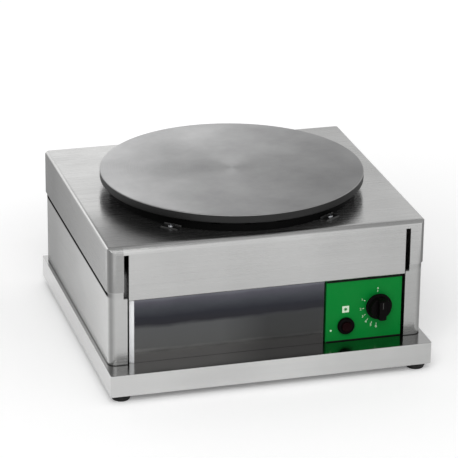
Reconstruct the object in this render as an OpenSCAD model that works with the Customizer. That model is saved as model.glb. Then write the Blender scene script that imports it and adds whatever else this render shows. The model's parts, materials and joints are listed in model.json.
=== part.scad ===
// Gas crepe maker: round cast-iron plate over a star burner in a folded stainless housing.
// X runs to the right, Y to the back, Z up; the origin is on the worktop below the plate's centre.

/* [Housing] */
// Width of the lower housing over its side panels
body_w = 480; // [440:1:520]
// Depth of the lower housing from its posts to its back
body_d = 422; // [400:1:460]
// Height from the base's top to the cover's top
body_h = 184.5; // [178:0.5:220]
// Thickness of all stainless sheet
sheet_t = 1.5; // [1:0.1:2]
// Outside radius of the side panels' front corners
corner_r = 12; // [8:1:20]
// Width of each front post
post_w = 28; // [24:1:36]
// Width of the flanges that the panels are screwed together by
flange_w = 18; // [16:1:20]

/* [Top cover] */
// Gap between the cover's flanges and the panels inside them
lap_gap = 0.5; // [0.3:0.1:1]
// Depth of the cover's side and rear flanges
skirt_h = 69; // [55:1:80]
// Depth of the front band below the cover's top
band_h = 84; // [82:1:95]
// Outside radius of the rolled front edge
roll_r = 11.5; // [8:0.5:14]
// Outside radius of the cover's side edges
edge_r = 6; // [4:0.5:8]
// Width of the relief slots beside the front band
slot_w = 7; // [5:0.5:9]
// Depth of the relief slots' lower ends below the cover's top
slot_foot = 77; // [72:1:80]
// Radius of the bend at the band's lower edge
lip_r = 3; // [2.5:0.5:4]

/* [Base and feet] */
// How far the base tray stands out past the housing on each side
base_side = 5.5; // [4:0.5:16]
// How far the base tray stands out in front of the housing
base_front = 35; // [28:0.5:44]
// How far the base tray stands out behind the housing
base_rear = 19; // [16:0.5:28]
// Height of the base tray
base_h = 33.5; // [28:0.5:40]
// Radius of the base tray's corners
base_r = 3; // [2:0.5:6]
// Width of the base tray's inward lip
base_lip = 12; // [8:1:14]
// Radius of the air opening in the base tray's top
base_air_r = 88; // [60:1:92]
// Height of the rubber feet
foot_h = 11; // [8:0.5:16]
// Top diameter of a foot
foot_d = 30; // [26:1:34]
// Distance of a foot's centre from the base's edges
foot_inset = 19; // [18:0.5:22]
// Side of the square plates that hold the feet
foot_plate_w = 40; // [36:1:46]

/* [Cooking plate and ring] */
// Diameter of the cooking plate
plate_d = 400; // [390:1:404]
// Thickness of the cooking plate
plate_t = 13.5; // [10:0.5:18]
// Height of the plate's underside above the cover
plate_lift = 17; // [14:0.5:24]
// Outside diameter of the burner ring
ring_d = 372; // [364:1:376]
// Wall of the burner ring
ring_t = 3; // [2:0.5:4]
// Number of flue notches in the ring's top
notch_count = 24; // [16:4:32]
// Width of a flue notch
notch_w = 16; // [10:1:20]
// Depth of a flue notch
notch_h = 6; // [4:0.5:8]
// Diameter of the opening in the cover under the ring
cover_hole_d = 352; // [330:1:354]
// Depth of the locating rim under the plate
spigot_h = 5; // [3:0.5:7]
// Play between the locating rim and the ring
spigot_gap = 1; // [0.5:0.1:2]

/* [Burner] */
// Number of burner arms
arm_count = 8; // [6:2:10]
// Reach of a burner arm from the hub's axis
arm_reach = 132; // [120:1:140]
// Diameter of a burner arm
arm_d = 18; // [14:1:20]
// Height of the arms' axis above the base's top
arm_z = 150.5; // [146:0.5:160]
// Ports along each side of an arm
port_count = 7; // [4:1:9]
// Diameter of a port
port_d = 2.5; // [2:0.1:3]
// Radius of the burner hub
hub_r = 34; // [30:1:38]
// Outside diameter of the mixing tube
mix_d = 36; // [32:1:38]
// Diameter of the mixing tube's mouth
mouth_d = 56; // [50:1:60]

/* [Controls] */
// Distance of the gas knob from the housing's right side
knob_inset = 69; // [67:0.5:73]
// Height of the gas knob above the base's top
knob_z = 53.5; // [52:0.5:60]
// Diameter of the knob's skirt
knob_d = 40; // [36:1:44]
// Length of the knob
knob_h = 22; // [18:0.5:26]
// Travel of the knob when pushed
knob_push = 4; // [3:0.5:5]
// Diameter of the valve spindle
spindle_d = 6; // [5:0.5:8]
// Distance of the igniter from the housing's right side
igniter_inset = 118; // [116:0.5:121]
// Height of the igniter above the base's top
igniter_z = 25; // [24:0.5:28]
// Diameter of the igniter's bezel
bezel_d = 26; // [24:0.5:28]
// Diameter of the igniter's button
button_d = 15; // [12:0.5:16]
// Travel of the igniter's button
button_push = 5; // [3:0.5:6]
// Running clearance on each side of a shaft
run_gap = 0.08; // [0.04:0.01:0.1]
// Width of the control panel
control_w = 117.5; // [114:0.5:120]
// Setback of the lower panels behind the posts
panel_setback = 4; // [3:0.5:6]
// Gap round the edges of the lower panels
panel_gap = 3.5; // [2.5:0.5:5]
// Width of the folded edge of the lower front panel
panel_fold = 7; // [5:0.5:9]
// Angle by which that edge is folded back, in degrees
fold_angle = 20; // [15:1:45]

/* [Gas line] */
// Distance of the gas inlet from the housing's right side
inlet_inset = 35; // [34:0.5:38]
// Diameter of the gas inlet's thread
inlet_d = 20.955; // [16.5:0.005:21]
// Length of the gas inlet's thread
inlet_len = 16; // [12:0.5:16]
// Thickness of the gas inlet's flange outside the rear panel
inlet_flange = 3; // [2:0.5:5]
// Diameter of the supply pipe
supply_d = 10; // [8:0.5:10]
// Diameter of the burner pipe
feed_d = 8; // [6:0.5:8]
// Bend radius of the pipes
pipe_bend = 10; // [8:0.5:10]
// Diameter of the ignition lead
lead_d = 5; // [4:0.5:6]
// Diameter of the thermocouple lead
capillary_d = 3; // [2.5:0.5:4]
// Bend radius of the leads
lead_bend = 11; // [10:0.5:14]
// Radial play of pipes and leads in the heat shield
pass_gap = 2; // [1:0.5:3]

/* [Fasteners] */
// Diameter of the housing screws
screw_d = 4; // [3:0.5:5]
// Diameter of a housing screw's head
screw_head_d = 8; // [7:0.5:9]
// Height of a housing screw's head
screw_head_h = 2.4; // [2:0.1:3]
// Diameter of the foot screws
foot_screw_d = 5; // [4:0.5:6]
// Radial clearance of a screw in its hole
screw_gap = 0.2; // [0.1:0.05:0.4]

/* [Hidden] */
$fn = 64;
// Overshoot of a cut past the face it opens
cut = 1;

base_w = body_w + 2 * base_side;
base_d = body_d + base_front + base_rear;
body_shift = (base_front - base_rear) / 2;
base_top = foot_h + base_h;
cover_top = base_top + body_h;
seat_z = cover_top - sheet_t;
body_front = body_shift - body_d / 2;
body_back = body_shift + body_d / 2;
rear_in = body_back - sheet_t;
lap = lap_gap + sheet_t;
cover_front = body_front - lap;
cover_back = body_back + lap;
cover_half = body_w / 2 + lap;
skirt_foot = cover_top - skirt_h;
band_foot = cover_top - band_h;
slot_z = cover_top - slot_foot;
post_in = body_w / 2 - post_w;
slot_out = post_in + slot_w - sheet_t;
band_half = slot_out - slot_w;
panel_front = body_front + panel_setback;
panel_in = panel_front + sheet_t;
panel_top = band_foot + slot_w;
panel_right = post_in - panel_gap;
panel_left = panel_right - control_w;
panel_split = panel_left - panel_gap;
plate_z = cover_top + plate_lift;
ring_r = ring_d / 2;
ring_in = ring_r - ring_t;
foot_x = base_w / 2 - foot_inset;
foot_y = base_d / 2 - foot_inset;
inner_flange = body_w / 2 - flange_w;
foot_plate_t = 2;
foot_nut_z = foot_h + sheet_t + foot_plate_t;
foot_nut_h = 4;

burner_z = base_top + arm_z;
bridge_t = 2;
bridge_w = 80;
bridge_half = base_air_r + 22;
bridge_top = burner_z - arm_d / 2 - 8;
bridge_foot = 22;
bridge_window = 62;
neck_h = 8;
neck_r = mix_d / 2 + 6;
elbow_r = 25;
mix_z = bridge_top - neck_h - elbow_r;
mouth_len = 25;
mouth_lip = 10;
yoke_len = 30;
yoke_t = 4;
feed_drop = 29;
yoke_x = body_w / 2 - knob_inset - feed_drop;
mouth_x = yoke_x - yoke_len - mouth_len;
shutter_t = 3;
shutter_x = mouth_x + mouth_len - mouth_lip;
injector_d = 12;
injector_hex = 17;

valve_x = body_w / 2 - knob_inset;
valve_z = base_top + knob_z;
valve_half = 12;
valve_len = 46;
valve_rear = panel_in + valve_len;
valve_mid = panel_in + 30;
collar_d = 16;
collar_len = 4;
plug_r = 8;
plug_front = panel_in + 8;
plug_len = 28;
spindle_in = 10;
skirt_h_knob = 4;
knob_back = panel_front - knob_push - 1.5;
magnet_d = 18;
magnet_len = 20;
magnet_foot = valve_z - valve_half - magnet_len;
pipe_seat = 4;
nut_len = 8;
injector_len = 10;

spark_x = body_w / 2 - igniter_inset;
spark_z = base_top + igniter_z;
bezel_h = 6;
button_proud = 3;
button_len = 15;
neck_d = button_d + 3;
button_back = panel_front - bezel_h - button_proud + button_len;
igniter_len = 58;

pilot_reach = 74;
pilot_step = 16;
pilot_offset = pilot_step * sqrt(2);
pilot_angle = -45;
pilot_arm = [pilot_reach, -pilot_reach];
electrode_at = [pilot_reach - pilot_step, -pilot_reach - pilot_step];
probe_at = [pilot_reach + pilot_step, pilot_step - pilot_reach];
pilot_z = burner_z - arm_d / 2 - 4;
pilot_t = 2;
ceramic_d = 8;
ceramic_up = 14;
ceramic_down = 22;
probe_d = 6;
probe_up = 20;
probe_down = 14;
lead_z = base_top + 8;

shield_y = valve_rear + 32;
shield_t = 1.2;
shield_top = panel_top - 3;
shield_foot = 15;
shield_left = panel_left - 4;
shield_right = inner_flange - 2;

tab_w = 28;
tab_foot = 13;
tab_up = 3.5;
tab_gap = 0.1;
tab_screw_r = ring_r + tab_gap + sheet_t + (tab_foot - sheet_t) / 2;
tab_angles = [47, 123, 227, 303];

vent_count = 12;
vent_w = 4;
vent_h = 44;
vent_pitch = 12;
vent_rise = 60;
vent_z = base_top + vent_rise;
vent_side = 108;
inlet_x = body_w / 2 - inlet_inset;
vent_x = inlet_x - vent_side;

// Distances of the screws from the ends of the sheets they hold
side_screw_front = 83;
side_screw_rear = 99;
rear_screw_left = 72;
rear_screw_right = 132;
front_screw_left = 58.5;
front_screw_right = 67.5;
control_screw_left = 24;
control_screw_right = 28.5;
bridge_screw_in = 15;
shield_screw_left = 18;
shield_screw_right = 30;
edge_screw_foot = 18;
edge_screw_top = 17.5;
edge_screw_step = (skirt_foot - edge_screw_top - base_top - edge_screw_foot) / 2;
cover_screw_side = 102;
cover_screw_foot = 15;

// Screws that come up through the base's top: [x, y]
side_screws = [for (s = [-1, 1], y = [body_front + side_screw_front, body_back - side_screw_rear])
    [s * (inner_flange + flange_w / 2), y]];
rear_foot_screws = [for (x = [rear_screw_left - inner_flange, inner_flange - rear_screw_right])
    [x, rear_in - flange_w / 2]];
front_foot_screws = [for (x = [front_screw_left - panel_right, panel_split - front_screw_right])
    [x, panel_in + flange_w / 2]];
control_foot_screws = [for (x = [panel_left + control_screw_left, panel_right - control_screw_right])
    [x, panel_in + flange_w / 2]];
bridge_screws = [for (t = [-1, 1], s = [-1, 1])
    [t * (bridge_w / 2 - bridge_screw_in), s * (bridge_half + bridge_foot / 2)]];
shield_screws = [for (x = [shield_left + shield_screw_left, shield_right - shield_screw_right])
    [x, shield_y + shield_t + shield_foot / 2]];
base_screw_spots = concat(side_screws, rear_foot_screws, front_foot_screws, control_foot_screws,
    bridge_screws, shield_screws);
base_screw_len = 9;

// Screws in the back of the housing: [x, z, y of the face under the head]
rear_edge = inner_flange + flange_w / 2;
rear_screw_spots = concat(
    [for (s = [-1, 1], i = [0 : 2])
        [s * rear_edge, base_top + edge_screw_foot + i * edge_screw_step, body_back]],
    [for (s = [-1, 1]) [s * (cover_half - cover_screw_side), skirt_foot + cover_screw_foot, cover_back]]);
rear_screw_len = 8;

inlet_reach = 24;
inlet_in = rear_in - inlet_reach;
inlet_shank_d = inlet_d - 1;
supply_route = [
    [inlet_x, inlet_in, valve_z],
    [inlet_x, valve_mid, valve_z],
    [valve_x + valve_half + pipe_seat, valve_mid, valve_z]];
feed_route = [
    [valve_x, valve_rear + pipe_seat, valve_z],
    [valve_x, 0, valve_z],
    [valve_x, 0, mix_z],
    [yoke_x + injector_len, 0, mix_z]];
lead_route = [
    [electrode_at[0], electrode_at[1], pilot_z - ceramic_down],
    [electrode_at[0], electrode_at[1], spark_z],
    [spark_x, electrode_at[1], spark_z],
    [spark_x, panel_in + igniter_len, spark_z]];
capillary_route = [
    [valve_x, valve_mid, magnet_foot],
    [valve_x, valve_mid, lead_z],
    [valve_x, probe_at[1], lead_z],
    [probe_at[0], probe_at[1], lead_z],
    [probe_at[0], probe_at[1], pilot_z - probe_down]];

// Helpers

function unit(v) = v / norm(v);
function side_of(d) = abs(unit(d)[2]) < 0.9 ? unit(cross(d, [0, 0, 1])) : [1, 0, 0];
function turn(a, b, c) = acos(unit(b - a) * unit(c - b));
function setback(a, b, c, r) = r * tan(turn(a, b, c) / 2);

// Places children with their Z along z_dir and their X along x_dir
module aim(p, z_dir, x_dir) {
    z = unit(z_dir);
    x = unit(x_dir);
    y = cross(z, x);
    multmatrix([[x[0], y[0], z[0], p[0]], [x[1], y[1], z[1], p[1]], [x[2], y[2], z[2], p[2]], [0, 0, 0, 1]])
        children();
}

// Round tube through points, with each corner bent to the radius bend
module tube_run(points, d, bend) {
    last = len(points) - 1;
    for (i = [0 : last - 1]) {
        dir = unit(points[i + 1] - points[i]);
        skip_a = i == 0 ? 0 : setback(points[i - 1], points[i], points[i + 1], bend);
        skip_b = i == last - 1 ? 0 : setback(points[i], points[i + 1], points[i + 2], bend);
        aim(points[i] + skip_a * dir, dir, side_of(dir))
            cylinder(d = d, h = norm(points[i + 1] - points[i]) - skip_a - skip_b);
    }
    for (i = [1 : last - 1]) {
        dir = unit(points[i] - points[i - 1]);
        axis = unit(cross(dir, points[i + 1] - points[i]));
        inward = cross(axis, dir);
        start = points[i] - setback(points[i - 1], points[i], points[i + 1], bend) * dir;
        aim(start + bend * inward, axis, -inward)
            rotate_extrude(angle = turn(points[i - 1], points[i], points[i + 1]))
                translate([bend, 0]) circle(d = d);
    }
}

// Cylinder whose axis runs along Y, from y0 to y1
module along_y(x, z, y0, y1, d) {
    translate([x, y0, z]) rotate([-90, 0, 0]) cylinder(d = d, h = y1 - y0);
}

// Cylinder whose axis runs along X, from x0 to x1
module along_x(y, z, x0, x1, d) {
    translate([x0, y, z]) rotate([0, 90, 0]) cylinder(d = d, h = x1 - x0);
}

// Hexagon bar along Y, with the distance flats across its flats
module hex_y(x, z, y0, y1, flats) {
    translate([x, y0, z]) rotate([-90, 0, 0]) cylinder(d = flats / cos(30), h = y1 - y0, $fn = 6);
}

// Hexagon bar along X, with the distance flats across its flats
module hex_x(y, z, x0, x1, flats) {
    translate([x0, y, z]) rotate([0, 90, 0]) cylinder(d = flats / cos(30), h = x1 - x0, $fn = 6);
}

// Block from its low corner to its high corner
module block(low, high) {
    translate(low) cube(high - low);
}

// Rectangle in plan whose two front corners are round
module front_round(half, y0, y1, r) {
    translate([-half, y0 + r]) square([2 * half, y1 - y0 - r]);
    translate([r - half, y0]) square([2 * (half - r), r]);
    for (s = [-1, 1]) translate([s * (half - r), y0 + r]) circle(r = r);
}

// Rectangle in plan with four round corners
module all_round(w, d, r) {
    square([w - 2 * r, d], center = true);
    square([w, d - 2 * r], center = true);
    for (x = [-1, 1], y = [-1, 1]) translate([x * (w / 2 - r), y * (d / 2 - r)]) circle(r = r);
}

module screw_holes(spots, z0, z1) {
    for (p = spots) translate([p[0], p[1], z0]) cylinder(d = screw_d + 2 * screw_gap, h = z1 - z0);
}

module rear_holes(y0, y1) {
    for (p = rear_screw_spots) along_y(p[0], p[1], y0, y1, screw_d + 2 * screw_gap);
}

module at_feet() {
    for (x = [-1, 1], y = [-1, 1]) translate([x * foot_x, y * foot_y, 0]) children();
}

// Base and feet

module base_tray() {
    color("silver") difference() {
        translate([0, 0, foot_h]) linear_extrude(base_h) all_round(base_w, base_d, base_r);
        translate([0, 0, foot_h + sheet_t]) linear_extrude(base_h - 2 * sheet_t)
            all_round(base_w - 2 * sheet_t, base_d - 2 * sheet_t, base_r - sheet_t);
        block([base_lip - base_w / 2, base_lip - base_d / 2, foot_h - cut],
            [base_w / 2 - base_lip, base_d / 2 - base_lip, foot_h + sheet_t + cut]);
        translate([0, 0, base_top - sheet_t - cut]) cylinder(r = base_air_r, h = sheet_t + 2 * cut);
        screw_holes(base_screw_spots, base_top - sheet_t - cut, base_top + cut);
        at_feet() cylinder(d = foot_screw_d + 2 * screw_gap, h = foot_h + sheet_t + cut);
    }
}

module foot_plates() {
    reach = foot_inset - sheet_t - screw_gap;
    color("gray") for (x = [0, 1], y = [0, 1]) mirror([x, 0, 0]) mirror([0, y, 0])
        translate([foot_x, foot_y, foot_h + sheet_t]) difference() {
            block([reach - foot_plate_w, reach - foot_plate_w, 0], [reach, reach, foot_plate_t]);
            translate([0, 0, -cut]) cylinder(d = foot_screw_d + 2 * screw_gap, h = foot_plate_t + 2 * cut);
        }
}

module rubber_feet() {
    color("black") at_feet() difference() {
        union() {
            cylinder(d1 = foot_d - 5, d2 = foot_d, h = foot_h / 2);
            translate([0, 0, foot_h / 2]) cylinder(d = foot_d, h = foot_h / 2);
        }
        translate([0, 0, -cut]) cylinder(d = foot_screw_d + 2 * screw_gap, h = foot_h + 2 * cut);
        translate([0, 0, -cut]) cylinder(d = 2 * foot_screw_d + 2, h = foot_h / 2 + cut);
    }
}

module foot_screws() {
    color("silver") at_feet() translate([0, 0, foot_h / 2 - 3]) {
        cylinder(d = 2 * foot_screw_d, h = 3);
        cylinder(d = foot_screw_d, h = foot_nut_z + foot_nut_h + 1.5 - foot_h / 2 + 3);
    }
}

module foot_nuts() {
    color("silver") at_feet() translate([0, 0, foot_nut_z]) difference() {
        cylinder(d = 1.6 * foot_screw_d / cos(30), h = foot_nut_h, $fn = 6);
        translate([0, 0, -cut]) cylinder(d = foot_screw_d + 2 * run_gap, h = foot_nut_h + 2 * cut);
    }
}

module base_screws() {
    color("silver") for (p = base_screw_spots) translate([p[0], p[1], base_top - sheet_t - screw_head_h]) {
        cylinder(d = screw_head_d, h = screw_head_h);
        cylinder(d = screw_d, h = screw_head_h + base_screw_len);
    }
}

// Housing panels

module left_side_panel() {
    top_r = edge_r;
    post_top = cover_top - roll_r - 1;
    color("gainsboro") difference() {
        union() {
            intersection() {
                translate([0, 0, base_top]) linear_extrude(seat_z - top_r - base_top) difference() {
                    front_round(body_w / 2, body_front, rear_in, corner_r);
                    front_round(body_w / 2 - sheet_t, body_front + sheet_t, rear_in - sheet_t,
                        corner_r - sheet_t);
                }
                union() {
                    block([-body_w, body_front - cut, 0], [-post_in, body_front + corner_r, post_top]);
                    block([-body_w, body_front + corner_r, 0], [-inner_flange, body_back, cover_top]);
                }
            }
            // Bend and flange that carry the cover
            translate([0, rear_in - flange_w, 0]) rotate([90, 0, 0])
                linear_extrude(rear_in - flange_w - body_front - corner_r) {
                    intersection() {
                        translate([top_r - body_w / 2, seat_z - top_r]) difference() {
                            circle(r = top_r);
                            circle(r = top_r - sheet_t);
                        }
                        translate([-body_w / 2, seat_z - top_r]) square(top_r);
                    }
                    translate([top_r - body_w / 2, seat_z - sheet_t]) square([flange_w - top_r, sheet_t]);
                    translate([-body_w / 2, seat_z - top_r - cut]) square([sheet_t, cut]);
                }
            // Foot flange on the base
            block([-body_w / 2, body_front + corner_r, base_top],
                [-inner_flange, rear_in - flange_w, base_top + sheet_t]);
        }
        block([-slot_out, body_front - cut, slot_z], [0, body_front + corner_r, cover_top]);
        screw_holes(side_screws, base_top - cut, base_top + sheet_t + cut);
        rear_holes(rear_in - sheet_t - cut, rear_in + cut);
    }
}

module right_side_panel() {
    color("gainsboro") mirror([1, 0, 0]) left_side_panel();
}

module rear_panel() {
    color("gainsboro") difference() {
        union() {
            block([-body_w / 2, rear_in, base_top], [body_w / 2, body_back, seat_z - edge_r]);
            block([-inner_flange + 2, rear_in - flange_w, base_top],
                [inner_flange - 2, rear_in, base_top + sheet_t]);
        }
        for (group = [-1, 1], i = [0 : vent_count - 1])
            translate([group * vent_x + (i - (vent_count - 1) / 2) * vent_pitch, rear_in - cut, vent_z])
                rotate([-90, 0, 0]) linear_extrude(sheet_t + 2 * cut) {
                    square([vent_w, vent_h - vent_w], center = true);
                    for (s = [-1, 1]) translate([0, s * (vent_h - vent_w) / 2]) circle(d = vent_w);
                }
        along_y(inlet_x, valve_z, rear_in - cut, body_back + cut, inlet_shank_d + 2 * screw_gap);
        rear_holes(rear_in - cut, body_back + cut);
        screw_holes(rear_foot_screws, base_top - cut, base_top + sheet_t + cut);
    }
}

module rear_screws() {
    color("silver") for (p = rear_screw_spots) {
        along_y(p[0], p[1], p[2], p[2] + screw_head_h, screw_head_d);
        along_y(p[0], p[1], p[2] - rear_screw_len, p[2], screw_d);
    }
}

module lower_front_panel() {
    left = panel_gap - post_in;
    bend = left + panel_fold;
    fold_in = panel_fold * tan(fold_angle);
    slim = sheet_t * tan(fold_angle / 2);
    color("dimgray") difference() {
        union() {
            translate([0, 0, base_top]) linear_extrude(panel_top - base_top) polygon([
                [panel_split, panel_front],
                [bend, panel_front],
                [left, panel_front + fold_in],
                [left + sheet_t * sin(fold_angle), panel_front + fold_in + sheet_t * cos(fold_angle)],
                [bend + slim, panel_in],
                [panel_split, panel_in]]);
            block([bend + panel_fold, panel_in, base_top],
                [panel_split, panel_in + flange_w, base_top + sheet_t]);
            block([panel_split - sheet_t, panel_in, base_top], [panel_split, panel_in + flange_w, panel_top]);
        }
        screw_holes(front_foot_screws, base_top - cut, base_top + sheet_t + cut);
    }
}

module control_panel() {
    color("green") difference() {
        union() {
            block([panel_left, panel_front, base_top], [panel_right, panel_in, panel_top]);
            block([panel_left, panel_in, base_top], [panel_right, panel_in + flange_w, base_top + sheet_t]);
            for (x = [panel_left, panel_right - sheet_t])
                block([x, panel_in, base_top], [x + sheet_t, panel_in + flange_w, panel_top]);
        }
        along_y(valve_x, valve_z, panel_front - cut, panel_in + cut, collar_d + 2 * screw_gap);
        along_y(spark_x, spark_z, panel_front - cut, panel_in + cut, neck_d + 2 * screw_gap);
        screw_holes(control_foot_screws, base_top - cut, base_top + sheet_t + cut);
    }
}

// Solid inside the cover's outside faces, drawn in by inset on every side
module cover_form(inset) {
    half = cover_half - inset;
    front = cover_front + inset;
    back = cover_back - inset;
    top = cover_top - inset;
    roll = roll_r - inset;
    edge = edge_r - inset;
    low = band_foot - inset;
    intersection() {
        translate([0, 0, low]) linear_extrude(top - low)
            front_round(half, front, back, corner_r + lap - inset);
        rotate([90, 0, 90]) translate([0, 0, -half]) linear_extrude(2 * half) {
            translate([front + roll, low]) square([back - front - roll, top - low]);
            translate([front, low]) square([roll, top - roll - low]);
            translate([front + roll, top - roll]) circle(r = roll);
        }
        translate([0, back, 0]) rotate([90, 0, 0]) linear_extrude(back - front) {
            translate([-half, low]) square([2 * half, top - edge - low]);
            translate([edge - half, top - edge]) square([2 * (half - edge), edge]);
            for (s = [-1, 1]) translate([s * (half - edge), top - edge]) circle(r = edge);
        }
    }
}

module top_cover() {
    color("lightgray") {
        difference() {
            cover_form(0);
            cover_form(sheet_t);
            // Sides and back end at the flange, the front runs down between the slots
            block([-cover_half - cut, cover_front + sheet_t, band_foot - cut],
                [cover_half + cut, cover_back + cut, skirt_foot]);
            for (s = [0, 1]) mirror([s, 0, 0]) {
                block([band_half, cover_front - cut, band_foot - cut],
                    [cover_half + cut, cover_front + sheet_t + cut, skirt_foot]);
                block([band_half, cover_front - cut, band_foot - cut],
                    [slot_out, cover_front + sheet_t + cut, cover_top - roll_r]);
            }
            block([-cover_half, cover_front - cut, band_foot - cut],
                [cover_half, panel_front, band_foot + lip_r]);
            translate([0, 0, seat_z - cut]) cylinder(d = cover_hole_d, h = sheet_t + 2 * cut);
            for (a = tab_angles) rotate([0, 0, a]) translate([tab_screw_r, 0, seat_z - cut])
                cylinder(d = screw_d + 2 * screw_gap, h = sheet_t + 2 * cut);
            rear_holes(body_back - cut, cover_back + cut);
        }
        // Rolled lower edge of the band
        rotate([90, 0, 90]) translate([0, 0, -band_half]) linear_extrude(2 * band_half) {
            intersection() {
                translate([cover_front + lip_r, band_foot + lip_r]) difference() {
                    circle(r = lip_r);
                    circle(r = lip_r - sheet_t);
                }
                translate([cover_front, band_foot]) square(lip_r);
            }
            translate([cover_front + lip_r, band_foot]) square([panel_setback + lap - lip_r - 1, sheet_t]);
        }
    }
}

// Plate and ring

module burner_ring() {
    ring_foot = 2;
    color("#202020") translate([0, 0, cover_top]) difference() {
        rotate_extrude() {
            translate([ring_in, 0]) square([ring_t, plate_lift]);
            translate([cover_hole_d / 2, 0]) square([ring_in - cover_hole_d / 2, ring_foot]);
        }
        for (i = [0 : notch_count - 1]) rotate([0, 0, (i + 0.5) * 360 / notch_count])
            block([ring_in - cut, -notch_w / 2, plate_lift - notch_h],
                [ring_r + cut, notch_w / 2, plate_lift + cut]);
    }
}

module ring_tabs() {
    wall = ring_r + tab_gap;
    color("silver") for (a = tab_angles) rotate([0, 0, a]) translate([0, 0, cover_top]) difference() {
        union() {
            block([wall, -tab_w / 2, 0], [wall + tab_foot, tab_w / 2, sheet_t]);
            block([wall, -tab_w / 2, 0], [wall + sheet_t, tab_w / 2, tab_up]);
        }
        translate([tab_screw_r, 0, -cut]) cylinder(d = screw_d + 2 * screw_gap, h = sheet_t + 2 * cut);
    }
}

module tab_screws() {
    color("silver") for (a = tab_angles) rotate([0, 0, a]) translate([tab_screw_r, 0, cover_top + sheet_t]) {
        cylinder(d = screw_head_d, h = screw_head_h);
        translate([0, 0, -rear_screw_len]) cylinder(d = screw_d, h = rear_screw_len);
    }
}

module cooking_plate() {
    r = plate_d / 2;
    bevel = 1;
    under = 2;
    spigot_out = ring_in - spigot_gap;
    spigot_w = 6;
    color("#4a4a4c") translate([0, 0, plate_z]) rotate_extrude() polygon([
        [0, 0],
        [spigot_out - spigot_w, 0],
        [spigot_out - spigot_w, -spigot_h],
        [spigot_out, -spigot_h],
        [spigot_out, 0],
        [r - under, 0],
        [r, under],
        [r, plate_t - bevel],
        [r - bevel, plate_t],
        [0, plate_t]]);
}

// Burner

module star_burner() {
    port_tilt = 38;
    port_first = hub_r + 8;
    port_step = (arm_reach - port_first) / (port_count - 1);
    cap_h = 9;
    lug_d = 14;
    color("#5a5048") difference() {
        union() {
            translate([0, 0, bridge_top]) cylinder(r = hub_r, h = burner_z + arm_d / 2 - bridge_top);
            translate([0, 0, burner_z + arm_d / 2]) cylinder(r1 = hub_r, r2 = hub_r - 12, h = cap_h);
            translate([0, 0, bridge_top - neck_h]) cylinder(r = neck_r, h = neck_h);
            for (i = [0 : arm_count - 1]) rotate([0, 0, i * 360 / arm_count]) {
                along_x(0, burner_z, 0, arm_reach, arm_d);
                translate([arm_reach, 0, burner_z]) sphere(d = arm_d);
            }
            translate([pilot_arm[0], pilot_arm[1], pilot_z + pilot_t])
                cylinder(d = lug_d, h = burner_z - pilot_z - pilot_t);
        }
        translate([0, 0, bridge_top - neck_h - cut]) cylinder(d = mix_d + 2 * run_gap, h = neck_h + cut + 10);
        for (i = [0 : arm_count - 1], k = [0 : port_count - 1], s = [-1, 1])
            rotate([0, 0, i * 360 / arm_count]) translate([port_first + k * port_step, 0, burner_z])
                rotate([s * port_tilt, 0, 0]) translate([0, 0, arm_d / 4]) cylinder(d = port_d, h = arm_d);
        translate([pilot_arm[0], pilot_arm[1], pilot_z]) cylinder(d = screw_d + 2 * run_gap, h = 8);
    }
}

module burner_bridge() {
    half = bridge_w / 2;
    leg_in = bridge_half - bridge_t;
    color("silver") difference() {
        union() {
            block([-half, -bridge_half, bridge_top - bridge_t], [half, bridge_half, bridge_top]);
            for (s = [0, 1]) mirror([0, s, 0]) {
                block([-half, leg_in, base_top], [half, bridge_half, bridge_top]);
                block([-half, leg_in, base_top], [half, bridge_half + bridge_foot, base_top + bridge_t]);
            }
        }
        translate([0, 0, bridge_top - bridge_t - cut]) cylinder(r = neck_r + 0.5, h = bridge_t + 2 * cut);
        // Air passes through windows in the legs
        for (s = [-1, 1]) translate([0, s * (bridge_half - bridge_t / 2), base_top + bridge_window])
            rotate([90, 0, 0]) cylinder(r = half - 14, h = bridge_t + 2 * cut, center = true);
        screw_holes(bridge_screws, base_top - cut, base_top + bridge_t + cut);
    }
}

module mixing_tube() {
    throat_d = mix_d - 10;
    strap_h = 14;
    strap_t = 4;
    strap_y = mouth_d / 2 - 8;
    color("#8a8378") difference() {
        union() {
            translate([0, 0, mix_z + elbow_r]) cylinder(d = mix_d, h = neck_h);
            translate([elbow_r, 0, mix_z + elbow_r]) rotate([-90, 0, 0]) rotate([0, 0, 90])
                rotate_extrude(angle = 90) translate([elbow_r, 0]) circle(d = mix_d);
            along_x(0, mix_z, elbow_r, mouth_x, mix_d);
            translate([mouth_x, 0, mix_z]) rotate([0, 90, 0])
                cylinder(d1 = mix_d, d2 = mouth_d, h = mouth_len - mouth_lip);
            along_x(0, mix_z, shutter_x, mouth_x + mouth_len, mouth_d);
            // Yoke that holds the injector in front of the mouth
            for (s = [0, 1]) mirror([0, s, 0])
                block([shutter_x, strap_y, mix_z - strap_h / 2],
                    [yoke_x, strap_y + strap_t, mix_z + strap_h / 2]);
            block([yoke_x - yoke_t, -strap_y - strap_t, mix_z - strap_h / 2],
                [yoke_x, strap_y + strap_t, mix_z + strap_h / 2]);
        }
        along_x(0, mix_z, elbow_r, mouth_x + cut, throat_d);
        translate([mouth_x, 0, mix_z]) rotate([0, 90, 0])
            cylinder(d1 = throat_d, d2 = mouth_d - 16, h = mouth_len + 0.01);
        along_x(0, mix_z, yoke_x - yoke_t - cut, yoke_x + cut, injector_d + 2 * run_gap);
    }
}

module air_shutter() {
    out_d = mouth_d + 2 * run_gap + 2 * shutter_t;
    color("silver") difference() {
        along_x(0, mix_z, shutter_x, shutter_x + mouth_lip, out_d);
        along_x(0, mix_z, shutter_x - cut, shutter_x + mouth_lip + cut, mouth_d + 2 * run_gap);
        translate([shutter_x + mouth_lip / 2, 0, mix_z]) cylinder(d = screw_d + 2 * run_gap, h = out_d);
    }
}

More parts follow.
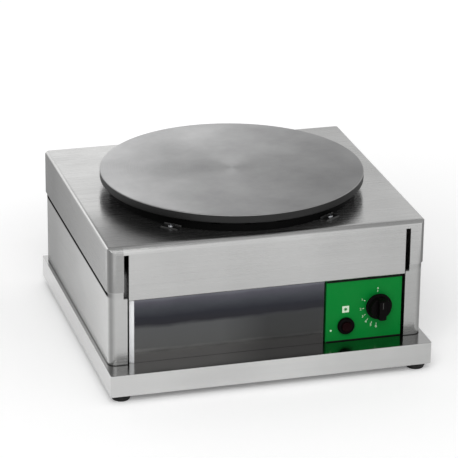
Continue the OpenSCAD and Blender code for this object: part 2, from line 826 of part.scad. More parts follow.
module shutter_screw() {
    foot = mix_z + mouth_d / 2 + run_gap;
    color("silver") translate([shutter_x + mouth_lip / 2, 0, foot]) {
        cylinder(d = screw_d, h = shutter_t + 3);
        translate([0, 0, shutter_t + 1]) cylinder(d = screw_head_d, h = 4);
    }
}

module injector() {
    tip = 8;
    color("goldenrod") difference() {
        union() {
            along_x(0, mix_z, yoke_x - yoke_t - tip, yoke_x, injector_d);
            hex_x(0, mix_z, yoke_x, yoke_x + injector_len, injector_hex);
        }
        along_x(0, mix_z, yoke_x - yoke_t - tip - cut, yoke_x, 1.5);
    }
}

// Gas line

module burner_pipe() {
    color("#b87333") tube_run(feed_route, feed_d, pipe_bend);
}

module pipe_nut_y(x, z, y0, d) {
    difference() {
        hex_y(x, z, y0, y0 + nut_len, 2 * d);
        along_y(x, z, y0 - cut, y0 + nut_len + cut, d + 2 * run_gap);
    }
}

module pipe_nut_x(y, z, x0, d) {
    difference() {
        hex_x(y, z, x0, x0 + nut_len, 2 * d);
        along_x(y, z, x0 - cut, x0 + nut_len + cut, d + 2 * run_gap);
    }
}

module burner_pipe_nuts() {
    color("goldenrod") {
        pipe_nut_y(valve_x, valve_z, valve_rear + pipe_seat, feed_d);
        pipe_nut_x(0, mix_z, yoke_x + injector_len, feed_d);
    }
}

module supply_pipe() {
    color("#b87333") tube_run(supply_route, supply_d, pipe_bend);
}

module supply_pipe_nuts() {
    color("goldenrod") {
        pipe_nut_y(inlet_x, valve_z, inlet_in - nut_len, supply_d);
        pipe_nut_x(valve_mid, valve_z, valve_x + valve_half + pipe_seat, supply_d);
    }
}

module gas_inlet() {
    flange_out = body_back + inlet_flange;
    color("goldenrod") {
        along_y(inlet_x, valve_z, inlet_in, body_back + cut, inlet_shank_d);
        hex_y(inlet_x, valve_z, body_back, flange_out, inlet_d + 7);
        along_y(inlet_x, valve_z, flange_out - cut, flange_out + inlet_len, inlet_d);
    }
}

module inlet_lock_nut() {
    nut_h = 6;
    color("goldenrod") difference() {
        hex_y(inlet_x, valve_z, rear_in - nut_h, rear_in, inlet_d + 6);
        along_y(inlet_x, valve_z, rear_in - nut_h - cut, rear_in + cut, inlet_shank_d + 2 * run_gap);
    }
}

// Valve and knob

module valve_body() {
    color("goldenrod") difference() {
        union() {
            block([valve_x - valve_half, panel_in, valve_z - valve_half],
                [valve_x + valve_half, valve_rear, valve_z + valve_half]);
            along_y(valve_x, valve_z, panel_front - collar_len, panel_in + cut, collar_d);
            along_y(valve_x, valve_z, valve_rear - cut, valve_rear + pipe_seat, feed_d + 6);
            along_x(valve_mid, valve_z, valve_x, valve_x + valve_half + pipe_seat, supply_d + 6);
        }
        along_y(valve_x, valve_z, plug_front, plug_front + plug_len, 2 * (plug_r + run_gap));
        along_y(valve_x, valve_z, panel_front - collar_len - cut, plug_front + cut, spindle_d + 2 * run_gap);
    }
}

module valve_nut() {
    nut_h = 3;
    color("silver") difference() {
        hex_y(valve_x, valve_z, panel_front - nut_h, panel_front, collar_d + 5);
        along_y(valve_x, valve_z, panel_front - nut_h - cut, panel_front + cut, collar_d + 2 * run_gap);
    }
}

module valve_plug() {
    side_gap = 0.3;
    color("goldenrod") difference() {
        along_y(valve_x, valve_z, plug_front + side_gap, plug_front + plug_len - side_gap, 2 * plug_r);
        along_y(valve_x, valve_z, plug_front - cut, plug_front + spindle_in + knob_push + 2,
            spindle_d + 2 * run_gap);
        // Gas way across the plug
        along_x(valve_mid, valve_z, valve_x - plug_r - cut, valve_x + plug_r + cut, 5);
    }
}

module valve_spindle() {
    color("silver") along_y(valve_x, valve_z, knob_back - knob_h + 8, plug_front + spindle_in, spindle_d);
}

module gas_knob() {
    grip_d = knob_d - 6;
    bar_w = 11;
    bar_h = 9;
    face = knob_back - knob_h;
    color("#181818") difference() {
        union() {
            along_y(valve_x, valve_z, knob_back - skirt_h_knob, knob_back, knob_d);
            translate([valve_x, knob_back - skirt_h_knob, valve_z]) rotate([90, 0, 0])
                cylinder(d1 = grip_d, d2 = grip_d - 3, h = knob_h - skirt_h_knob - bar_h);
            intersection() {
                translate([valve_x, knob_back - skirt_h_knob, valve_z]) rotate([90, 0, 0])
                    cylinder(d1 = grip_d, d2 = grip_d - 4, h = knob_h - skirt_h_knob);
                block([valve_x - bar_w / 2, face, valve_z - knob_d],
                    [valve_x + bar_w / 2, knob_back, valve_z + knob_d]);
            }
        }
        along_y(valve_x, valve_z, face + 8 - 0.5, knob_back + cut, spindle_d + 2 * run_gap);
        along_y(valve_x, valve_z, knob_back - skirt_h_knob + 1, knob_back + cut, collar_d + 10);
    }
}

module magnet_unit() {
    color("silver") translate([valve_x, valve_mid, magnet_foot]) cylinder(d = magnet_d, h = magnet_len);
}

// Ignition and flame safety

module thermocouple() {
    color("#b87333") translate([probe_at[0], probe_at[1], pilot_z - probe_down])
        cylinder(d = probe_d, h = probe_down + pilot_t + probe_up);
}

module thermocouple_lead() {
    color("#b87333") tube_run(capillary_route, capillary_d, lead_bend);
}

module pilot_bracket() {
    wide = 18;
    color("silver") translate([pilot_arm[0], pilot_arm[1], pilot_z]) rotate(pilot_angle) difference() {
        union() {
            block([-wide / 2, -pilot_offset, 0], [wide / 2, pilot_offset, pilot_t]);
            for (s = [-1, 1]) translate([0, s * pilot_offset, 0]) cylinder(d = wide, h = pilot_t);
        }
        translate([0, 0, -cut]) cylinder(d = screw_d + 2 * screw_gap, h = pilot_t + 2 * cut);
        translate([0, pilot_offset, -cut]) cylinder(d = probe_d + 2 * run_gap, h = pilot_t + 2 * cut);
        translate([0, -pilot_offset, -cut]) cylinder(d = ceramic_d + 2 * run_gap, h = pilot_t + 2 * cut);
    }
}

module pilot_screw() {
    color("silver") translate([pilot_arm[0], pilot_arm[1], pilot_z - screw_head_h]) {
        cylinder(d = screw_head_d, h = screw_head_h);
        cylinder(d = screw_d, h = screw_head_h + pilot_t + 5);
    }
}

module spark_electrode() {
    color("ivory") translate([electrode_at[0], electrode_at[1], pilot_z - ceramic_down]) difference() {
        cylinder(d = ceramic_d, h = ceramic_down + pilot_t + ceramic_up);
        translate([0, 0, ceramic_down]) cylinder(d = 2 + 2 * run_gap, h = pilot_t + ceramic_up + cut);
    }
}

module electrode_pin() {
    color("silver") translate([electrode_at[0], electrode_at[1], pilot_z])
        cylinder(d = 2, h = pilot_t + ceramic_up + 12);
}

module ignition_lead() {
    color("black") tube_run(lead_route, lead_d, lead_bend);
}

module igniter_body() {
    flange_h = 3;
    color("#202020") difference() {
        union() {
            along_y(spark_x, spark_z, panel_front - 2, panel_in + cut, neck_d);
            along_y(spark_x, spark_z, panel_in, panel_in + flange_h, neck_d + 6);
            along_y(spark_x, spark_z, panel_in, panel_in + igniter_len, neck_d);
        }
        along_y(spark_x, spark_z, panel_front - 3, button_back + button_push + 2, button_d + 2 * run_gap);
    }
}

module igniter_bezel() {
    color("#181818") translate([spark_x, panel_front, spark_z]) rotate([90, 0, 0]) difference() {
        union() {
            cylinder(d = bezel_d, h = bezel_h - 2);
            translate([0, 0, bezel_h - 2]) cylinder(d1 = bezel_d, d2 = bezel_d - 3, h = 2);
        }
        translate([0, 0, -cut]) cylinder(d = neck_d + 2 * run_gap, h = 2 + cut + 0.2);
        cylinder(d = button_d + 2 * run_gap, h = bezel_h + cut);
    }
}

module igniter_button() {
    front = panel_front - bezel_h - button_proud;
    color("darkred") difference() {
        union() {
            along_y(spark_x, spark_z, front + 1, front + button_len, button_d);
            translate([spark_x, front + 1, spark_z]) rotate([90, 0, 0])
                cylinder(d1 = button_d, d2 = button_d - 2, h = 1);
        }
        translate([spark_x, front - 17, spark_z]) sphere(r = 18);
    }
}

module heat_shield() {
    color("silver") difference() {
        union() {
            block([shield_left, shield_y, base_top], [shield_right, shield_y + shield_t, shield_top]);
            block([shield_left, shield_y, base_top],
                [shield_right, shield_y + shield_t + shield_foot, base_top + shield_t]);
            block([shield_left, panel_in + flange_w + 4, shield_top - shield_t],
                [shield_right, shield_y + shield_t, shield_top]);
        }
        along_y(valve_x, valve_z, shield_y - cut, shield_y + shield_t + cut, feed_d + 2 * pass_gap);
        along_y(inlet_x, valve_z, shield_y - cut, shield_y + shield_t + cut, supply_d + 2 * pass_gap);
        along_y(spark_x, spark_z, shield_y - cut, shield_y + shield_t + cut, lead_d + 2 * pass_gap);
        along_y(valve_x, lead_z, shield_y - cut, shield_y + shield_t + cut, capillary_d + 2 * pass_gap);
        screw_holes(shield_screws, base_top - cut, base_top + shield_t + cut);
    }
}

base_tray();
foot_plates();
rubber_feet();
foot_screws();
foot_nuts();
base_screws();
left_side_panel();
right_side_panel();
rear_panel();
rear_screws();
lower_front_panel();
control_panel();
top_cover();
burner_ring();
ring_tabs();
tab_screws();
cooking_plate();
star_burner();
burner_bridge();
mixing_tube();
air_shutter();
shutter_screw();
injector();
burner_pipe();
burner_pipe_nuts();
supply_pipe();
supply_pipe_nuts();
gas_inlet();
inlet_lock_nut();
valve_body();
valve_nut();
valve_plug();
valve_spindle();
gas_knob();
magnet_unit();
thermocouple();
thermocouple_lead();
pilot_bracket();
pilot_screw();
spark_electrode();
electrode_pin();
ignition_lead();
igniter_body();
igniter_bezel();
igniter_button();
heat_shield();
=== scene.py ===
# %% [markdown]
# # A gas crepe maker
# A round cast-iron plate stands on a black burner ring, over a folded stainless housing with a green control
# panel. The solids come from the CAD model and stay where they are. This script gives each of them a smooth
# skin and a finish, adds the printed marks, and sets up the light and the camera.

# %% Load the frame
import json
import math
from collections import namedtuple
import bmesh
import bpy
from mathutils import Matrix, Vector


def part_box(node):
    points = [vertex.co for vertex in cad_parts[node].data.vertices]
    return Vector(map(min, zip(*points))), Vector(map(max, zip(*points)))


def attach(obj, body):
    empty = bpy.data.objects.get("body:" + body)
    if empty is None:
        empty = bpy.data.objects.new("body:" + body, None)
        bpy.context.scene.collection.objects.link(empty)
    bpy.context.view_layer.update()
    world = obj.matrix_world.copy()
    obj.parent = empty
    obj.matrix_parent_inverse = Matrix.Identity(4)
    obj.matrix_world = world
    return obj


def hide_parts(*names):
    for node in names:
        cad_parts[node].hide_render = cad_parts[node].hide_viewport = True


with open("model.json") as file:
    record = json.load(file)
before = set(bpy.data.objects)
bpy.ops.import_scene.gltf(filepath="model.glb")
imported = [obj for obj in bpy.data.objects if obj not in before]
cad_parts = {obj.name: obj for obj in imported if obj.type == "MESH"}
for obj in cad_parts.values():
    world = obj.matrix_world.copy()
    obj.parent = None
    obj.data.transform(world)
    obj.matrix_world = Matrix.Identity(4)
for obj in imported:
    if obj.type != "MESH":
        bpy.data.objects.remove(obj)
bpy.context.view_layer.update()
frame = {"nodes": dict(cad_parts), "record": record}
scene = bpy.context.scene
MM = 0.001

# %% [markdown]
# ## Camera
# The camera stands four metres away with a long lens, so that the edges of the box stay nearly parallel. It
# looks down by 22 degrees and comes from the left by 16. The three axes are computed from these angles and
# written into the camera's matrix, which is more exact than aiming it by eye.

# %% Camera
IMAGE_PX = 458
FOCAL_PX = 2693
SENSOR_MM = 36
EYE = Vector((-1.0512, -3.6782, 1.6851))
YAW, PITCH, ROLL = math.radians(15.904), math.radians(21.755), math.radians(0.649)

ahead = Vector((math.sin(YAW) * math.cos(PITCH), math.cos(YAW) * math.cos(PITCH), -math.sin(PITCH)))
level = Vector((math.cos(YAW), -math.sin(YAW), 0))
above = level.cross(ahead)
right = level * math.cos(ROLL) + above * math.sin(ROLL)
up = above * math.cos(ROLL) - level * math.sin(ROLL)

camera = bpy.data.objects.new("camera", bpy.data.cameras.new("camera"))
camera.data.sensor_width = SENSOR_MM
camera.data.lens = SENSOR_MM * FOCAL_PX / IMAGE_PX
camera.data.clip_end = 50
camera.matrix_world = Matrix((
    (right.x, up.x, -ahead.x, EYE.x),
    (right.y, up.y, -ahead.y, EYE.y),
    (right.z, up.z, -ahead.z, EYE.z),
    (0, 0, 0, 1)))
scene.collection.objects.link(camera)
scene.camera = camera
print("camera: lens %.1f mm" % camera.data.lens)

# %% [markdown]
# ## Building materials from nodes
# Every finish is a small node tree that reads the object's own coordinates, so the grain keeps its real size in
# millimetres. Small helpers keep the trees short: one adds a node and fills its sockets, one starts a material with
# the values that are the same all over the surface, and the rest name the few nodes that come back all the time.

# %% Helpers: nodes and noise
def add_node(tree, kind, inputs=None, **settings):
    made = tree.nodes.new(kind)
    for key, value in settings.items():
        setattr(made, key, value)
    for key, value in (inputs or {}).items():
        if isinstance(value, bpy.types.NodeSocket):
            tree.links.new(value, made.inputs[key])
        else:
            made.inputs[key].default_value = value
    return made


def start_material(name, **constants):
    material = bpy.data.materials.new(name)
    material.use_nodes = True
    tree = material.node_tree
    tree.nodes.clear()
    sockets = {key.replace("_", " "): value for key, value in constants.items()}
    shader = add_node(tree, "ShaderNodeBsdfPrincipled", sockets)
    add_node(tree, "ShaderNodeOutputMaterial", {"Surface": shader.outputs[0]})
    return material, tree, shader


def object_coords(tree, scale=(1, 1, 1)):
    coords = add_node(tree, "ShaderNodeTexCoord")
    return add_node(tree, "ShaderNodeMapping", {
        "Vector": coords.outputs["Object"], "Scale": scale}).outputs[0]


def noise(tree, coords, scale, detail=3.0, roughness=0.55):
    return add_node(tree, "ShaderNodeTexNoise", {
        "Vector": coords, "Scale": scale, "Detail": detail, "Roughness": roughness}).outputs["Fac"]


def spread(tree, value, low, high, start=0.3, end=0.7):
    """Goes from low to high while the value goes from start to end."""
    return add_node(tree, "ShaderNodeMapRange", {
        "Value": value, "From Min": start, "From Max": end, "To Min": low, "To Max": high}).outputs[0]


print("helpers: nodes and noise")

# %% Helpers: mixing and reading
def mix_colour(tree, factor, a, b):
    return add_node(tree, "ShaderNodeMix", {0: factor, 6: a, 7: b}, data_type="RGBA").outputs[2]


def mix_value(tree, factor, a, b):
    return add_node(tree, "ShaderNodeMix", {0: factor, 2: a, 3: b}, data_type="FLOAT").outputs[0]


def math_node(tree, operation, a, b=0.0):
    return add_node(tree, "ShaderNodeMath", {0: a, 1: b}, operation=operation).outputs[0]


def times(tree, a, b):
    return math_node(tree, "MULTIPLY", a, b)


def one_minus(tree, value):
    return math_node(tree, "SUBTRACT", 1.0, value)


def toned(tree, colour, tone):
    """Colour that is made darker or paler by a number."""
    return add_node(tree, "ShaderNodeMix", {0: 1.0, 6: colour, 7: tone}, data_type="RGBA",
                    blend_type="MULTIPLY").outputs[2]


def place_of(tree):
    """The three coordinates of a point on the object, in metres."""
    return add_node(tree, "ShaderNodeSeparateXYZ", {0: object_coords(tree)}).outputs


def normal_axis(tree, axis):
    coords = add_node(tree, "ShaderNodeTexCoord")
    return add_node(tree, "ShaderNodeSeparateXYZ", {0: coords.outputs["Normal"]}).outputs[axis]


def bump(tree, shader, height, strength, distance):
    made = add_node(tree, "ShaderNodeBump", {"Height": height, "Strength": strength, "Distance": distance})
    tree.links.new(made.outputs[0], shader.inputs["Normal"])


def grey(value, alpha=1.0):
    return (value, value, value, alpha)


print("helpers: mixing and reading")

# %% [markdown]
# ### Painted light and shade on stainless sheet
# The steel housing gets painted light and shade in places: a dark reflection of the plate on the cover beside it,
# shade lines under the skirt and at the sides' foot, shade behind the slots and on the floor inside the box, shade on
# front faces towards the right and down each upright bend, and a highlight along the front roll. These could be
# painted on an image, but then they would have one size and one resolution. Here each mark is a small function that
# makes a factor for the colour, one where the steel is left as it is. It reads only where a point is and which way
# its face looks, so the mark stays on the steel from every side.

# %% Reading a sheet
X, Y, Z = range(3)
BEND_FULL = 0.25  # product of two squares where a face looks halfway between two axes
Sheet = namedtuple("Sheet", "tree across ahead up at")


def read_sheet(tree):
    """How far faces look across, ahead and up (squared, so that the three add up to one), and where they are."""
    squares = [times(tree, part, part) for part in (normal_axis(tree, axis) for axis in (X, Y, Z))]
    return Sheet(tree, *squares, place_of(tree))


def left_under(sheet, mask, share):
    """One where the mask is zero, and share where it is one."""
    return mix_value(sheet.tree, mask, 1.0, share)


def far_from(sheet, axis, middle):
    """Distance along one axis from a place in millimetres."""
    return math_node(sheet.tree, "ABSOLUTE", math_node(sheet.tree, "SUBTRACT", sheet.at[axis], middle * MM))


def closer_than(sheet, axis, middle, half):
    return math_node(sheet.tree, "LESS_THAN", far_from(sheet, axis, middle), half * MM)


def halfway(sheet, one, other):
    """One on a bend, where a face looks halfway between two axes, and zero on flat sheet."""
    return spread(sheet.tree, times(sheet.tree, one, other), 0.0, 1.0, 0.0, BEND_FULL)


print("a sheet is read as", ", ".join(Sheet._fields))

# %% Marks of painted light and shade
# Painted shade: a darker line down each upright bend.
def upright_bend(share):
    return lambda sheet: left_under(sheet, halfway(sheet, sheet.across, sheet.ahead), share)


# Painted highlight: the rolled front edge is made paler.
def rolled_edge(share):
    return lambda sheet: left_under(sheet, halfway(sheet, sheet.ahead, sheet.up), share)


def dull_end(start_x, end_x, share):
    """Front faces with painted shade that grows from one place to the other."""
    return lambda sheet: left_under(sheet, times(sheet.tree, sheet.ahead, spread(
        sheet.tree, sheet.at[X], 0.0, 1.0, start_x * MM, end_x * MM)), share)


def grease_film(middle, reach, share):
    """Painted dark reflection of the plate on faces that look straight up, darkest within a quarter of its reach."""
    def mark(sheet):
        off = add_node(sheet.tree, "ShaderNodeVectorMath", {
            0: object_coords(sheet.tree), 1: [c * MM for c in middle]}, operation="DISTANCE").outputs["Value"]
        near = spread(sheet.tree, off, 1.0, 0.0, reach * MM * 0.25, reach * MM)
        return left_under(sheet, times(sheet.tree, math_node(sheet.tree, "POWER", sheet.up, 8.0), near), share)
    return mark


def lap_seam(height, reach, on_side, on_front):
    """Line of painted shade at one height, with the share that it leaves on the sides and on the front."""
    def mark(sheet):
        line = spread(sheet.tree, far_from(sheet, Z, height), 1.0, 0.0, reach * MM * 0.35, reach * MM)
        square = times(sheet.tree, sheet.across, sheet.across)
        return left_under(sheet, line, mix_value(sheet.tree, square, on_front, on_side))
    return mark


# Painted shade: the steel seen through the slots, above the band's foot, is made nearly black.
def soot_behind_slots(half_width, foot, share):
    return lambda sheet: left_under(sheet, times(sheet.tree, closer_than(sheet, X, 0, half_width), spread(
        sheet.tree, sheet.at[Z], 0.0, 1.0, (foot - 2) * MM, foot * MM)), share)


# Painted shade: the floor of the base inside the housing is made nearly black.
def soot_on_floor(half_x, middle_y, half_y, share):
    return lambda sheet: left_under(sheet, times(
        sheet.tree, closer_than(sheet, Y, middle_y, half_y), closer_than(sheet, X, 0, half_x)), share)


print("marks of wear: 7 kinds")

# %% [markdown]
# ### Stainless sheet
# Catering steel is rolled and then brushed with a belt, which leaves fine parallel scratches. The scratches are a
# noise that is stretched along one axis. On faces that look sideways that axis would point out of the sheet, so there
# the stretch follows Y instead. The grain moves the roughness, the colour and a very shallow bump; broad soft
# smudges, as from a wiping cloth, darken the colour a little. Painted shade gives each facing direction its own
# strength, and makes the sides paler towards the front and darker towards the back. The scratches also smear a
# reflection across the grain, which the shader's anisotropy does. Steel dims a little at a glancing angle before it
# turns into a mirror, and the specular tint of a metal shader is just that.

# %% Brushed steel
FINE_GRAIN, BROAD_GRAIN = (6, 1100), (3, 190)  # waves per metre, along the grain and across it
SIDEWAYS = 0.36                                # a face is a side face from here, in squares of its normal
SIDE_PALEST_Y, SIDE_DARKEST_Y = -200, 160            # where the sides' painted shade is lightest, and where darkest


def grain(tree, side, waves, detail, roughness=0.55):
    """Noise stretched along X on most faces and along Y on side faces."""
    along, over = waves
    return mix_value(tree, side, noise(tree, object_coords(tree, (along, over, over)), 1.0, detail, roughness),
                     noise(tree, object_coords(tree, (over, along, over)), 1.0, detail, roughness))


def brushed_steel(name, tint, shine, shine_range=0.05, smudge=0.10, scratch=0.015, metal=1.0, smear=0.0,
                  glancing=1.0, facing=None, shading_marks=(), dark_lines=()):
    """Shine is the mean roughness, and shine_range how far the grain moves it. Facing holds painted shade: the
    strengths of a side's back end and front end, of the front and of the top. The marks in the last two arguments are
    painted light and shade as well."""
    material, tree, shader = start_material(name, Metallic=metal, Anisotropic=smear, Specular_Tint=grey(glancing))
    sheet = read_sheet(tree)
    side = math_node(tree, "GREATER_THAN", sheet.across, SIDEWAYS)
    fine, broad = grain(tree, side, FINE_GRAIN, 2.0), grain(tree, side, BROAD_GRAIN, 4.0, 0.7)
    cloud = noise(tree, object_coords(tree), 7.0, 4.0, 0.6)
    tone = times(tree, spread(tree, cloud, 1.0 - smudge, 1.0), spread(tree, broad, 0.97, 1.02))
    # Painted shade: each facing direction gets its own strength, and the sides fade from the front to the back.
    if facing:
        side_back, side_front, front, top = facing
        at_side = spread(tree, sheet.at[Y], side_front, side_back, SIDE_PALEST_Y * MM, SIDE_DARKEST_Y * MM)
        upright = mix_value(tree, sheet.across, front, at_side)
        tone = times(tree, tone, mix_value(tree, sheet.up, upright, top))
    for mark in shading_marks:
        tone = times(tree, tone, mark(sheet))
    edge_tint = glancing
    # Painted shade lines darken both the colour and the specular tint.
    for dark_line in dark_lines:
        line = dark_line(sheet)
        tone, edge_tint = times(tree, tone, line), times(tree, edge_tint, line)
    if dark_lines:
        tree.links.new(edge_tint, shader.inputs["Specular Tint"])
    tree.links.new(toned(tree, tuple(tint) + (1,), tone), shader.inputs["Base Color"])
    rough = math_node(tree, "ADD", spread(tree, fine, shine - shine_range, shine + shine_range),
                      spread(tree, cloud, 0.03, 0.0))
    tree.links.new(rough, shader.inputs["Roughness"])
    if smear:
        direction = add_node(tree, "ShaderNodeCombineXYZ", {
            0: one_minus(tree, side), 1: side, 2: 0.0}).outputs[0]
        normal = add_node(tree, "ShaderNodeNewGeometry").outputs["Normal"]
        crossing = add_node(tree, "ShaderNodeVectorMath", {0: normal, 1: direction}, operation="CROSS_PRODUCT")
        tree.links.new(crossing.outputs[0], shader.inputs["Tangent"])
    bump(tree, shader, fine, scratch, 0.0001)
    return material


print("brushed steel: grain of %d by %d waves per metre" % FINE_GRAIN)

# %% Steel finishes of this housing
def extent(node, axis):
    """Lowest and highest coordinate of a CAD node along one axis, in millimetres."""
    return [round(corner[axis] / MM, 3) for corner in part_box(node)]


BASE_TOP = extent("base_tray", Z)[1]
BAND_FOOT, COVER_TOP = extent("top_cover", Z)
SKIRT_FOOT, SLOT_OUT = 160, 218
SHADE_FROM_X, SHADE_TO_X = 60, 240
INSIDE_HALF_X, INSIDE_MIDDLE_Y, INSIDE_HALF_Y = 239, 9.5, 208
# Painted light and shade: sides darker towards the back, a paler top, the plate's dark reflection, shaded bends and
# front ends, a lit roll.
stainless = brushed_steel(
    "stainless", (0.60, 0.60, 0.595), 0.23, scratch=0.006, smear=0.8, glancing=0.60, facing=(0.34, 1.0, 0.80, 1.14),
    shading_marks=(grease_film((-190, -175, COVER_TOP), 150, 0.46), upright_bend(0.38), rolled_edge(1.4),
          dull_end(SHADE_FROM_X, SHADE_TO_X, 0.88), dull_end(0.1 - SLOT_OUT, -SLOT_OUT, 0.66)))
# Painted shade: sides darker towards the back, shaded bends and front ends, nearly black steel behind the slots,
# shade lines.
stainless_sides = brushed_steel(
    "stainless_sides", (0.60, 0.60, 0.595), 0.22, scratch=0.006, glancing=0.80, facing=(0.40, 1.32, 0.80, 1.0),
    shading_marks=(upright_bend(0.45), dull_end(SHADE_FROM_X, SHADE_TO_X, 0.80), soot_behind_slots(SLOT_OUT, BAND_FOOT + 5, 0.05)),
    dark_lines=(lap_seam(SKIRT_FOOT - 5.0, 5.0, 0.10, 0.95), lap_seam(BASE_TOP, 1.8, 0.22, 0.22)))
# Painted shade: the ledge's top at half strength, front faces shaded towards the right, the floor inside the box
# nearly black.
stainless_base = brushed_steel(
    "stainless_base", (0.62, 0.62, 0.615), 0.15, facing=(1.0, 1.0, 1.0, 0.50),
    shading_marks=(dull_end(SHADE_FROM_X, SHADE_TO_X, 0.80), soot_on_floor(INSIDE_HALF_X, INSIDE_MIDDLE_Y, INSIDE_HALF_Y, 0.04)))
# Painted highlight: pale, half-metallic steel for the dark panel's folded edge.
ground_edge = brushed_steel("ground_edge", (0.80, 0.81, 0.82), 0.40, metal=0.6)
tab_steel = brushed_steel("tab_steel", (0.12, 0.12, 0.12), 0.40, 0.06, 0.2)
# Painted shade: mill-finish steel made nearly black for the faces inside the closed box.
inside_shade_steel = brushed_steel("unpolished_inside", (0.14, 0.135, 0.13), 0.46, 0.08, 0.35)
zinc = brushed_steel("zinc_plated_steel", (0.50, 0.51, 0.53), 0.32, 0.06, 0.18)
print("steel finishes: 7")

# %% [markdown]
# ### Dark polished front
# The lower front panel is coloured steel, polished like a mirror. Its colour holds painted reflections and shade in
# bands: paler along its foot, where the ledge would mirror the floor, darkest halfway up and below the middle on its
# right half, and paler and bluish right under the band of the cover. A colour ramp over the height holds these tones,
# and a slow noise makes their borders wander.

# %% Dark polished steel
def heat_blued_steel(name, low, high, tones, right_shade):
    """Polished steel whose colour follows the height, as painted reflections and shade; tones are (height in mm,
    colour).
    """
    material, tree, shader = start_material(name, Metallic=1.0)
    along, _, height = place_of(tree)
    cloud = noise(tree, object_coords(tree, (1, 1, 3)), 16.0, 4.0, 0.6)
    wander = math_node(tree, "ADD", height, spread(tree, cloud, -2 * MM, 2 * MM))
    ramp = add_node(tree, "ShaderNodeValToRGB", {0: spread(tree, wander, 0.0, 1.0, low * MM, high * MM)})
    stops = ramp.color_ramp.elements
    while len(stops) < len(tones):
        stops.new(0.5)
    for stop, (level, colour) in zip(stops, tones):
        stop.position, stop.color = (level - low) / (high - low), tuple(colour) + (1,)
    from_x, to_x, under_z, share = right_shade
    right_shaded = times(tree, spread(tree, along, 0.0, 1.0, from_x * MM, to_x * MM),
                   spread(tree, wander, 1.0, 0.0, (under_z - 3) * MM, (under_z + 3) * MM))
    tree.links.new(toned(tree, ramp.outputs[0], mix_value(tree, right_shaded, 1.0, share)), shader.inputs["Base Color"])
    waves_along, waves_over = FINE_GRAIN
    hairline = noise(tree, object_coords(tree, (waves_along, waves_over, waves_over)), 1.0, 2.0)
    rough = math_node(tree, "ADD", spread(tree, hairline, 0.10, 0.15), spread(tree, cloud, 0.05, 0.0))
    tree.links.new(rough, shader.inputs["Roughness"])
    bump(tree, shader, hairline, 0.02, 0.0001)
    return material


PANEL_RIGHT_SHADE = (-70, 0, 100, 0.56)  # painted shade that grows between two places in x, below a height, and leaves this share
# Painted reflection and shade: the tones stand in for the ledge, the floor and the band mirrored in the panel.
dark_steel = heat_blued_steel("dark_polished_steel", 40, 150, [
    (44, (0.225, 0.220, 0.218)), (58, (0.225, 0.222, 0.218)), (66, (0.092, 0.093, 0.092)),
    (97, (0.092, 0.094, 0.096)), (104, (0.030, 0.030, 0.035)), (114, (0.030, 0.031, 0.038)),
    (127, (0.058, 0.061, 0.070)), (138, (0.088, 0.087, 0.104)), (148, (0.190, 0.192, 0.215))], PANEL_RIGHT_SHADE)
print("dark panel: tones by height")

# %% [markdown]
# ### Cooking plate
# The plate is cast iron, turned flat on a lathe and seasoned with oil. The tool leaves rings about a millimetre
# apart, which are a one-dimensional noise of the distance from the centre. Their highlights stretch across the
# rings, so the shader is anisotropic about the plate's axis. The oil darkens the middle in soft blotches, the
# rim keeps its black casting skin, and the bevel at the top is rubbed bright. The colour is also painted paler
# towards the back left, most of all at the left rim, and darker towards the front right: a painted highlight.

# %% Cast iron of the plate
PAINTED_LIGHT_SLOPE = (-1.5, 1.0, 0.0)               # painted highlight: how much paler per metre to the right, to the back and up
LIT_LEFT_RIM, LIT_REST = 2.3, 1.52         # how pale the painted highlight makes the iron at the left rim, and elsewhere
LEFT_RIM, LEFT_RIM_END = -190, -80


def turned_iron(name):
    material, tree, shader = start_material(name, Metallic=0.7, Anisotropic=0.5)
    flat = object_coords(tree, (1, 1, 0))
    radius = add_node(tree, "ShaderNodeVectorMath", {0: flat}, operation="LENGTH").outputs["Value"]
    rings = add_node(tree, "ShaderNodeTexNoise", {
        "W": radius, "Scale": 900.0, "Detail": 2.0}, noise_dimensions="1D").outputs["Fac"]
    blotch = noise(tree, object_coords(tree), 11.0, 5.0, 0.6)
    pores = noise(tree, object_coords(tree), 700.0, 2.0)
    top = math_node(tree, "GREATER_THAN", normal_axis(tree, Z), 0.9)
    bevel = math_node(tree, "GREATER_THAN", normal_axis(tree, Z), 0.3)
    seasoned = mix_colour(tree, spread(tree, blotch, 0.0, 1.0), (0.170, 0.170, 0.172, 1), (0.235, 0.235, 0.236, 1))
    ringed = mix_colour(tree, spread(tree, rings, 0.0, 0.35), seasoned, grey(0.30))
    across = add_node(tree, "ShaderNodeVectorMath", {0: object_coords(tree), 1: PAINTED_LIGHT_SLOPE}, operation="DOT_PRODUCT")
    lit_tone = math_node(tree, "ADD", across.outputs["Value"], spread(
        tree, place_of(tree)[X], LIT_LEFT_RIM, LIT_REST, LEFT_RIM * MM, LEFT_RIM_END * MM))
    casting_skin = mix_colour(tree, bevel, grey(0.018), grey(0.30))
    tree.links.new(mix_colour(tree, top, casting_skin, toned(tree, ringed, lit_tone)), shader.inputs["Base Color"])
    rough = math_node(tree, "ADD", spread(tree, rings, 0.38, 0.48), spread(tree, blotch, 0.06, -0.02))
    tree.links.new(mix_value(tree, top, 0.46, rough), shader.inputs["Roughness"])
    height = mix_value(tree, top, pores, math_node(tree, "ADD", rings, times(tree, pores, 0.3)))
    bump(tree, shader, height, 0.12, 0.0002)
    turning = add_node(tree, "ShaderNodeTangent", direction_type="RADIAL", axis="Z")
    tree.links.new(turning.outputs[0], shader.inputs["Tangent"])
    return material


plate_iron = turned_iron("turned_cast_iron")
print("plate finish:", plate_iron.name)

# %% [markdown]
# ### Raw casting of the burner
# The burner and its mixing tube are left as they come out of the sand: pitted all over, and stained by heat. An image
# would repeat itself on the eight arms, so a fine noise makes the pits and a broad one the stains.

